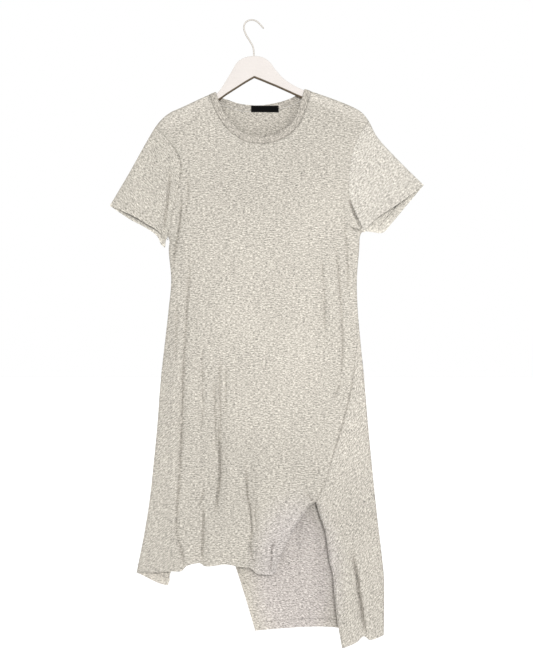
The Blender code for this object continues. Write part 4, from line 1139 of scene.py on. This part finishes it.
def sleeve(side):
    """Sleeve, as a ring of its front and back."""
    outer, inner, grains = [], [], []
    for layer in LAYERS:
        hems = HEMS[f"sleeve_{side}_{layer}"]
        grid = drawn_in(sleeve_grid(side, layer), layer, hems)
        face = outer_face(grid, layer, hems, [armhole_groove(side, layer)])
        outer.append(face)
        inner.append(face - cloth_thickness(grid, hems) * face_normals(face, layer))
        grains.append(grain_of(grid, GRAIN[f"sleeve_{side}"]))
    return shell(f"sleeve_{side}_cloth", joined(*outer), joined(*inner), joined(*grains), ring=True)


def neckband():
    """Doubled band with a crowned face and rounded edges."""
    rounding = 1.0 - np.abs(2.0 * BAND - 1.0) ** BAND_ROUNDING
    full = np.sqrt(np.maximum(rounding, BAND_EDGE))[None, :, None]
    thickness = BAND_THICKNESS * full
    lift = BAND_LIFT - 0.5 * BAND_THICKNESS + BAND_CROWN * (full - 0.5) + 0.5 * thickness
    outer, inner, grains = [], [], []
    for layer in LAYERS:
        grid = band_grid(layer)
        face = outer_face(grid, layer)
        normal = face_normals(face, layer)
        outer.append(face + lift * normal)
        inner.append(face + (lift - thickness) * normal)
        along = np.broadcast_to(lengths(grid[:, 0])[:, None], grid.shape[:2])
        across = np.broadcast_to(BAND * BAND_WIDTH, grid.shape[:2])
        grains.append(np.stack((along, across), axis=-1))
    return shell("neckband_cloth", joined(*outer), joined(*inner), joined(*grains), ring=True)


def neck_label():
    """Blank woven label inside the back neckband, thinner at its edges."""
    x, z = (np.linspace(*ends, steps + 1) for ends, steps in zip((LABEL_X, LABEL_Z), LABEL_STEPS))
    grid = np.stack(np.meshgrid(x, z), axis=-1)
    face = outer_face(grid, "back")
    normal = face_normals(face, "back")
    edge = np.minimum(within(x, *LABEL_X)[None, :], within(z, *LABEL_Z)[:, None])
    full = LABEL_EDGE + (1.0 - LABEL_EDGE) * smooth_step(edge, 0.0, LABEL_EDGE_WIDTH)
    lift = (LABEL_THICKNESS * full)[..., None]
    outer, inner = face + LABEL_DEPTH * normal, face + (LABEL_DEPTH - lift) * normal
    return shell("label_blank", outer, inner, grid, lined=False)


def stitches(name, hem, layer, hems, rows=STITCH_ROWS, inside=False):
    """Stitches along a hem, as small capsules that lie half sunk in the cloth."""
    stations = []
    for row in rows:
        line = stitch_line(hem, row)
        count = int((lengths(line)[-1] - 2.0 * STITCH_PITCH) / STITCH_PITCH)
        start = STITCH_PITCH * (1.0 + np.arange(count))
        for part in STITCH_PARTS:
            flat = at_length(line, start + part * STITCH_LENGTH)
            probe = np.stack((flat, flat + (0.0, PROBE), flat + (PROBE, 0.0)), axis=1)
            face = outer_face(probe, layer, hems, gap=HALF_GAP)
            normal = unit(np.cross(face[:, 1] - face[:, 0], face[:, 2] - face[:, 0]))
            normal *= np.sign(OUT[layer] * normal[:, 1])[:, None]
            depth = cloth_thickness(probe[:, :1], hems)[:, 0] if inside else 0.0
            stations.append((face[:, 0] - depth * normal, -normal if inside else normal))
    return capsules(name, stations)


def label_threads():
    """Short stitches that hold both ends of the label."""
    stations = []
    for x in (LABEL_X[0] + THREAD_INSET, LABEL_X[1] - THREAD_INSET):
        start = np.linspace(*THREAD_ENDS, LABEL_THREADS)
        for part in STITCH_PARTS:
            z = start + part * THREAD_LENGTH
            grid = np.stack((np.full_like(z, x), z), axis=1)[:, None]
            face = outer_face(grid, "back")[:, 0] + (0.0, LABEL_DEPTH - LABEL_THICKNESS, 0.0)
            stations.append((face, np.tile((0.0, -1.0, 0.0), (len(z), 1))))
    return capsules("label_threads", stations)


def capsules(name, stations):
    """One mesh of small capsules from rows of four stations, each of points and normals.

    A capsule has ten points: one end, two rings of four, and the other end.
    """
    vertices = []
    for row in range(0, len(stations), len(STITCH_PARTS)):
        (start, _), (first, normal), (second, _), (end, _) = stations[row:row + len(STITCH_PARTS)]
        across = np.cross(end - start, normal)
        across *= (STITCH_RADIUS / np.linalg.norm(across, axis=1))[:, None]
        out = normal * STITCH_RADIUS
        rings = [centre + way for centre in (first, second) for way in (out, across, -out, -across)]
        vertices.append(np.stack([start - 0.5 * out, *rings, end - 0.5 * out], axis=1).reshape(-1, 3))
    vertices = np.concatenate(vertices)
    pattern = []
    for k, n in ((0, 1), (1, 2), (2, 3), (3, 0)):
        pattern += [(0, 1 + n, 1 + k), (1 + k, 1 + n, 5 + n, 5 + k), (9, 5 + k, 5 + n)]
    faces = [[base + i for i in face] for base in range(0, len(vertices), 10) for face in pattern]
    return mesh_object(name, vertices, faces)


def board_top(section):
    """Height of the board's upper edge at a cross section."""
    if section.top is not None:
        return section.top
    shoulder = TOPS["left"][::-1] if section.x < 0.0 else TOPS["right"]
    return np.interp(section.x, shoulder[:, 0], shoulder[:, 1]) - UNDER_SHOULDER


def board():
    """Flat wooden board with finely rounded edges, through smooth upper and lower lines."""
    upper = smooth_curve([(row.x, board_top(row)) for row in HANGER_SECTIONS], BOARD_STEP)
    below = [(row.x, row.bottom - UNDERSIDE_DROP) for row in HANGER_SECTIONS]
    left = smooth_curve([point for point in below if point[0] <= HANGER_PEAK], BOARD_STEP)
    right = smooth_curve([point for point in below if point[0] >= HANGER_PEAK], BOARD_STEP)
    lower = np.concatenate((left, right[1:]))
    first, last = HANGER_SECTIONS[0].x, HANGER_SECTIONS[-1].x
    stations = np.sort(np.append(np.linspace(first, last, HANGER_STEPS), HANGER_PEAK))
    points = []
    for x in stations:
        top, bottom = np.interp(x, *upper.T), np.interp(x, *lower.T)
        full = min(1.0, within(x, first, last) / HANGER_TIP_REACH)
        half_thickness = HANGER_HALF_THICKNESS * (HANGER_TIP_SHARE + (1.0 - HANGER_TIP_SHARE) * full)
        points += rounded_rectangle(x, top, bottom, half_thickness)
    ring = np.arange(len(points)).reshape(len(stations), -1)
    turned = np.roll(ring, -1, axis=1)
    faces = np.stack((ring[:-1], turned[:-1], turned[1:], ring[1:]), axis=-1).reshape(-1, 4)
    return mesh_object("hanger_board", points, [*faces, ring[0], ring[-1]])


def rounded_rectangle(x, top, bottom, half_thickness):
    """Points round one cross section of the board."""
    points = []
    for corner, (y_sign, z_sign) in enumerate(((1, 1), (-1, 1), (-1, -1), (1, -1))):
        radius = HANGER_CORNER if z_sign > 0 else HANGER_BEVEL
        level = top - radius if z_sign > 0 else bottom + radius
        for turn in even(CORNER_STEPS):
            angle = 0.5 * np.pi * (corner + turn)
            y = y_sign * (half_thickness - radius) + radius * np.cos(angle)
            points.append((x, y, level + radius * np.sin(angle)))
    return points


def hook():
    """Round wire hook with a rounded open end."""
    route = at_share(smooth_curve(HOOK_ROUTE, HOOK_STEP), even(HOOK_POINTS - 1))
    data = bpy.data.curves.new("hook_wire", "CURVE")
    data.dimensions = "3D"
    data.bevel_depth = HOOK_RADIUS
    data.bevel_resolution = 6
    data.use_fill_caps = True
    spline = data.splines.new("POLY")
    spline.points.add(HOOK_POINTS - 1)
    for i, (x, z) in enumerate(route):
        spline.points[i].co = (x, 0.0, z, 1.0)
        spline.points[i].radius = min(1.0, HOOK_END + HOOK_GROWTH * (HOOK_POINTS - 1 - i))
    spline.use_smooth = True
    return add_object("hook_wire", data)


# ================================================================ materials
MIX_A, MIX_B, MIX_RESULT = 6, 7, 2     # colour sockets of the mix node


class Nodes:
    """Short calls for building one material's node tree. Most give a new node's output."""

    def __init__(self, name):
        self.material = bpy.data.materials.new(name)
        self.material.use_nodes = True
        self.tree = self.material.node_tree
        self.shader = self.tree.nodes["Principled BSDF"]

    def put(self, socket, value):
        """Links a socket to another node's output, or sets it to a value."""
        if isinstance(value, bpy.types.NodeSocket):
            self.tree.links.new(value, socket)
        else:
            socket.default_value = value

    def node(self, kind, inputs, output=0, **settings):
        made = self.tree.nodes.new(kind)
        for key, value in settings.items():
            setattr(made, key, value)
        for key, value in inputs.items():
            self.put(made.inputs[key], value)
        return made.outputs[output]

    def position(self):
        return self.node("ShaderNodeTexCoord", {}, "Object")

    def grain(self):
        return self.node("ShaderNodeUVMap", {}, uv_map="grain")

    def part(self, vector, axis):
        return self.node("ShaderNodeSeparateXYZ", {"Vector": vector}, axis)

    def maths(self, operation, first, second=0.0):
        return self.node("ShaderNodeMath", {0: first, 1: second}, operation=operation)

    def vector(self, operation, first, second=(0.0, 0.0, 0.0), output=0):
        return self.node("ShaderNodeVectorMath", {0: first, 1: second}, output, operation=operation)

    def total(self, *shares):
        """Sum of some values, each with its weight."""
        result = 0.0
        for value, weight in shares:
            result = self.maths("ADD", self.maths("MULTIPLY", value, weight), result)
        return result

    def wave(self, value, length):
        return self.maths("SINE", self.maths("MULTIPLY", value, 2.0 * np.pi / length))

    def noise(self, point, size, detail, roughness):
        """Noise whose grains have a size along each axis."""
        place = self.vector("DIVIDE", point, size)
        inputs = {"Vector": place, "Scale": 1.0, "Detail": detail, "Roughness": roughness}
        return self.node("ShaderNodeTexNoise", inputs)

    def spread(self, value, low, high, start=0.0, end=1.0, **settings):
        """The value between start and end, spread from low to high."""
        inputs = {"Value": value, "From Min": start, "From Max": end, "To Min": low, "To Max": high}
        return self.node("ShaderNodeMapRange", inputs, **settings)

    def bump(self, height, strength, distance):
        inputs = {"Height": height, "Strength": strength, "Distance": distance}
        return self.node("ShaderNodeBump", inputs)

    def mixed(self, first, second, share, blend="MIX"):
        inputs = {"Factor": share, MIX_A: first, MIX_B: second}
        return self.node("ShaderNodeMix", inputs, MIX_RESULT, data_type="RGBA", blend_type=blend)

    def patched(self, colour, point, patch):
        """The colour with a soft round patch multiplied over it."""
        away = self.vector("SUBTRACT", point, patch.centre)
        reach = self.vector("LENGTH", self.vector("DIVIDE", away, patch.size), output="Value")
        fade = self.spread(reach, 1.0, 0.0, PATCH_CORE, 1.0, interpolation_type="SMOOTHSTEP")
        return self.mixed(colour, (*patch.tint, 1.0), fade, "MULTIPLY")

    def ramp(self, factor, stops, colour=None):
        """Ramp through stops of colours, or of shares of the one colour."""
        made = self.tree.nodes.new("ShaderNodeValToRGB")
        self.put(made.inputs["Fac"], factor)
        stripes = made.color_ramp.elements
        while len(stripes) < len(stops):
            stripes.new(0.5)
        for stripe, (position, shade) in zip(stripes, stops):
            stripe.position = position
            if colour is not None:
                shade = [min(1.0, channel * shade) for channel in colour]
            stripe.color = (*shade, 1.0)
        return made.outputs["Color"]

    def finished(self, **inputs):
        """The material, with inputs of its shader, whose names have _ for a space."""
        for key, value in inputs.items():
            self.put(self.shader.inputs[key.replace("_", " ")], value)
        return self.material


def jersey(name, colour, patches=()):
    """Heathered jersey: light and dark flecks, fine fibres and the knit's own relief."""
    build = Nodes(name)
    grain, point = build.grain(), build.position()
    flecks = [(build.noise(grain, *row[:3]), row.weight) for row in HEATHER]
    mixed = build.total(*flecks, (build.noise(point, *CLOUD[:3]), CLOUD.weight))
    shades = build.ramp(mixed, HEATHER_SHADES, colour)
    # painted light: the colour is brightened where the board shows through, and on the back's left tip
    painted_light = build.node("ShaderNodeAttribute", {}, "Fac", attribute_name="painted_light")
    shades = build.mixed(shades, (*PAINTED_LIGHT_TINT, 1.0), painted_light, "MULTIPLY")
    for area in patches:
        shades = build.patched(shades, point, area)
    wale, course = build.wave(build.part(grain, "X"), WALE), build.wave(build.part(grain, "Y"), COURSE)
    ribs = build.maths("ABSOLUTE", wale)
    relief = build.total((ribs, WALE_RELIEF), (course, COURSE_RELIEF), (mixed, FLECK_RELIEF))
    return build.finished(
        Base_Color=shades, Normal=build.bump(relief, strength=0.55, distance=0.0005),
        Roughness=build.spread(mixed, low=0.98, high=0.80), Specular_IOR_Level=0.22,
        Sheen_Weight=0.05, Sheen_Roughness=0.45,
    )


def woven_black():
    """Black damask-woven label with fine ribs and no lettering."""
    build = Nodes("label_weave")
    grain = build.grain()
    weft, warp = build.wave(build.part(grain, "Y"), WEFT), build.wave(build.part(grain, "X"), WARP)
    relief = build.total((weft, 1.0), (warp, 0.5))
    fuzz = build.noise(grain, size=(0.0012, 0.0006, 1.0), detail=2.0, roughness=0.6)
    return build.finished(
        Base_Color=build.ramp(fuzz, LABEL_SHADES, WHITE), Roughness=0.62, Specular_IOR_Level=0.03,
        Normal=build.bump(relief, strength=0.5, distance=0.00012),
    )


def thread(name):
    """Sewing thread with a fine twist."""
    build = Nodes(name)
    twist = build.noise(build.position(), size=(0.0006,) * 3, detail=1.0, roughness=0.5)
    return build.finished(Base_Color=build.ramp(twist, THREAD_SHADES, THREADS[name]), Roughness=0.75)


def painted_wood():
    """Warm white satin paint over a fine grain, with painted shade: the faces that point down are dark
    brown.
    """
    build = Nodes("painted_wood")
    point = build.position()
    along = build.noise(point, size=(0.060, 0.0030, 0.0022), detail=4.0, roughness=0.6)
    cloud = build.noise(point, size=(0.05, 0.05, 0.03), detail=2.0, roughness=0.5)
    mixed = build.total((along, 0.6), (cloud, 0.4))
    height = build.part(build.node("ShaderNodeNewGeometry", {}, "Normal"), "Z")
    # painted shade: the more a face points down, the more it takes the dark brown
    under = build.spread(height, 0.0, 1.0, *PAINTED_SHADE_FROM)
    return build.finished(
        Base_Color=build.mixed(build.ramp(mixed, PAINT), build.ramp(along, UNDERSIDE_PAINTED_SHADE), under),
        Roughness=build.spread(mixed, low=0.66, high=0.54), Specular_IOR_Level=0.35,
        Normal=build.bump(along, strength=0.16, distance=0.0004),
    )


def bright_wire():
    """Pale plated steel with faint drawing marks."""
    build = Nodes("bright_wire")
    marks = build.noise(build.position(), size=(0.0009, 0.0009, 0.0060), detail=3.0, roughness=0.6)
    return build.finished(
        Base_Color=build.ramp(marks, STEEL), Metallic=1.0,
        Roughness=build.spread(marks, low=0.50, high=0.56),
    )


def pale_floor():
    """Nearly white floor with slow, faint clouds."""
    build = Nodes("pale_floor")
    cloud = build.noise(build.position(), size=(0.8,) * 3, detail=2.0, roughness=0.5)
    return build.finished(Base_Color=build.ramp(cloud, FLOOR_SHADES, WHITE), Roughness=0.9)


# ================================================================ pieces
def register(piece, material, node):
    """Gives a piece its material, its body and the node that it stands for."""
    piece.data.materials.append(material)
    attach(piece, "root")
    if node:
        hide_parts(node)
    return piece


def sewing(hem, layer, hems, names, threads):
    """Stitches of a hem, with the looper threads on the inside of a wide one."""
    wide = hem.width == HEM_WIDTH
    sewn = stitches(names.format("stitches"), hem, layer, hems, STITCH_ROWS if wide else (0.0,))
    made = [register(sewn, threads[0], None)]
    if wide:
        looped = stitches(names.format("loopers"), hem, layer, hems, LOOPER_ROWS, True)
        made.append(register(looped, threads[1], None))
    return made


def build_cloth():
    """Dress: three panels, two sleeves and the neckband, with their sewing."""
    threads = thread("ecru_thread"), thread("looper_thread_painted_shade")
    # painted light: both inside colours are lighter than the face, to offset the shade inside
    inside = jersey("wrong_side_painted_light_knit", WRONG_SIDE_PAINTED_LIGHT, (SLIT_PATCH, NECK_PAINTED_SHADE))
    sleeve_inside = jersey("sleeve_inside_painted_light_knit", SLEEVE_INSIDE_PAINTED_LIGHT)
    seam = Seam(DIAGONAL_CURVE, SEAM_DEPTHS["diagonal"])
    grooves = {}
    for layer in LAYERS:
        grooves[layer] = [armhole_groove(side, layer) for side in HANDS]
        grooves[layer].append(Seam(neck_seam(layer, 0.0), SEAM_DEPTHS["neck", layer]))

    panels = (
        ("front_main", front_main_grid, "front", [seam, *grooves["front"]], "jersey"),
        ("front_side_panel", front_side_grid, "front", [seam], "side_jersey"),
        ("back_panel", back_grid, "back", grooves["back"], "back_jersey"),
    )
    for name, make_grid, layer, seams, slot in panels:
        grid = drawn_in(make_grid(), layer, HEMS[name])
        grain = main_grain(grid) if name == "front_main" else grain_of(grid, GRAIN[name])
        finish = jersey(f"{slot}_knit", TONES[name], (SLIT_PATCH,) if layer == "front" else ())
        piece = register(panel(name, grid, layer, seams, grain), finish, name)
        piece.data.materials.append(inside)
        sewn = []
        for number, hem in enumerate(HEMS[name]):
            sewn += sewing(hem, layer, HEMS[name], f"{name}_{{}}_{number}", threads)

    for side in HANDS:
        name = f"sleeve_{side}"
        piece = register(sleeve(side), jersey(f"{name}_knit", TONES[name]), name)
        piece.data.materials.append(sleeve_inside)
        sewn = []
        for layer in LAYERS:
            hems = HEMS[f"{name}_{layer}"]
            sewn += sewing(hems[0], layer, hems, f"{name}_{layer}_{{}}", threads)

    finish = jersey("band_knit", TONES["neckband"])
    band = register(neckband(), finish, "neckband")
    band.data.materials.append(finish)


def build_label():
    """Neck label with the threads that hold it."""
    label = register(neck_label(), woven_black(), "neck_label")
    threads = register(label_threads(), thread("black_thread"), None)


def build_hanger():
    """Wooden board and wire hook."""
    register(board(), painted_wood(), "hanger_body")
    register(hook(), bright_wire(), "hanger_hook")


# ================================================================ stage
def turn_to(item, way):
    """Turns a lamp or the camera to look along a direction."""
    item.rotation_euler = Vector(way).to_track_quat("-Z", "Y").to_euler()


def build_stage():
    """Plain pale floor, white surroundings, soft light and the camera."""
    mesh = bpy.data.meshes.new("floor")
    corners = ((-1, -1), (1, -1), (1, 1), (-1, 1))
    mesh.from_pydata([(x * FLOOR_REACH, y * FLOOR_REACH, FLOOR_Z) for x, y in corners], [], [(0, 1, 2, 3)])
    floor = add_object("floor", mesh)
    mesh.materials.append(pale_floor())

    scene = bpy.context.scene
    scene.view_settings.view_transform = "Standard"
    scene.world = bpy.data.worlds.new("studio")
    scene.world.use_nodes = True
    background = scene.world.node_tree.nodes["Background"]
    background.inputs["Color"].default_value = (*WHITE, 1.0)
    background.inputs["Strength"].default_value = 1.0

    for name, energy, angle, way in LIGHTS:
        light = bpy.data.lights.new(name, "SUN")
        light.energy = energy
        light.angle = np.radians(angle)
        turn_to(add_object(name, light), way)

    spot = bpy.data.lights.new("waist", "SPOT")
    spot.energy = SPOT_POWER
    spot.spot_size = np.radians(SPOT_WIDTH)
    spot.spot_blend = 1.0
    spot.shadow_soft_size = SPOT_RADIUS
    lamp = add_object("waist", spot)
    lamp.location = SPOT_FROM
    turn_to(lamp, Vector(SPOT_AT) - lamp.location)

    data = bpy.data.cameras.new("view")
    data.lens = data.sensor_width * VIEW_DISTANCE / VIEW_HEIGHT
    data.clip_end = VIEW_LIMIT
    scene.camera = add_object("view", data)
    scene.camera.location = Vector(VIEW_AIM) - Vector((0.0, VIEW_DISTANCE, 0.0))
    turn_to(scene.camera, Vector(VIEW_AIM) - scene.camera.location)


build_stage()
build_hanger()
build_cloth()
build_label()
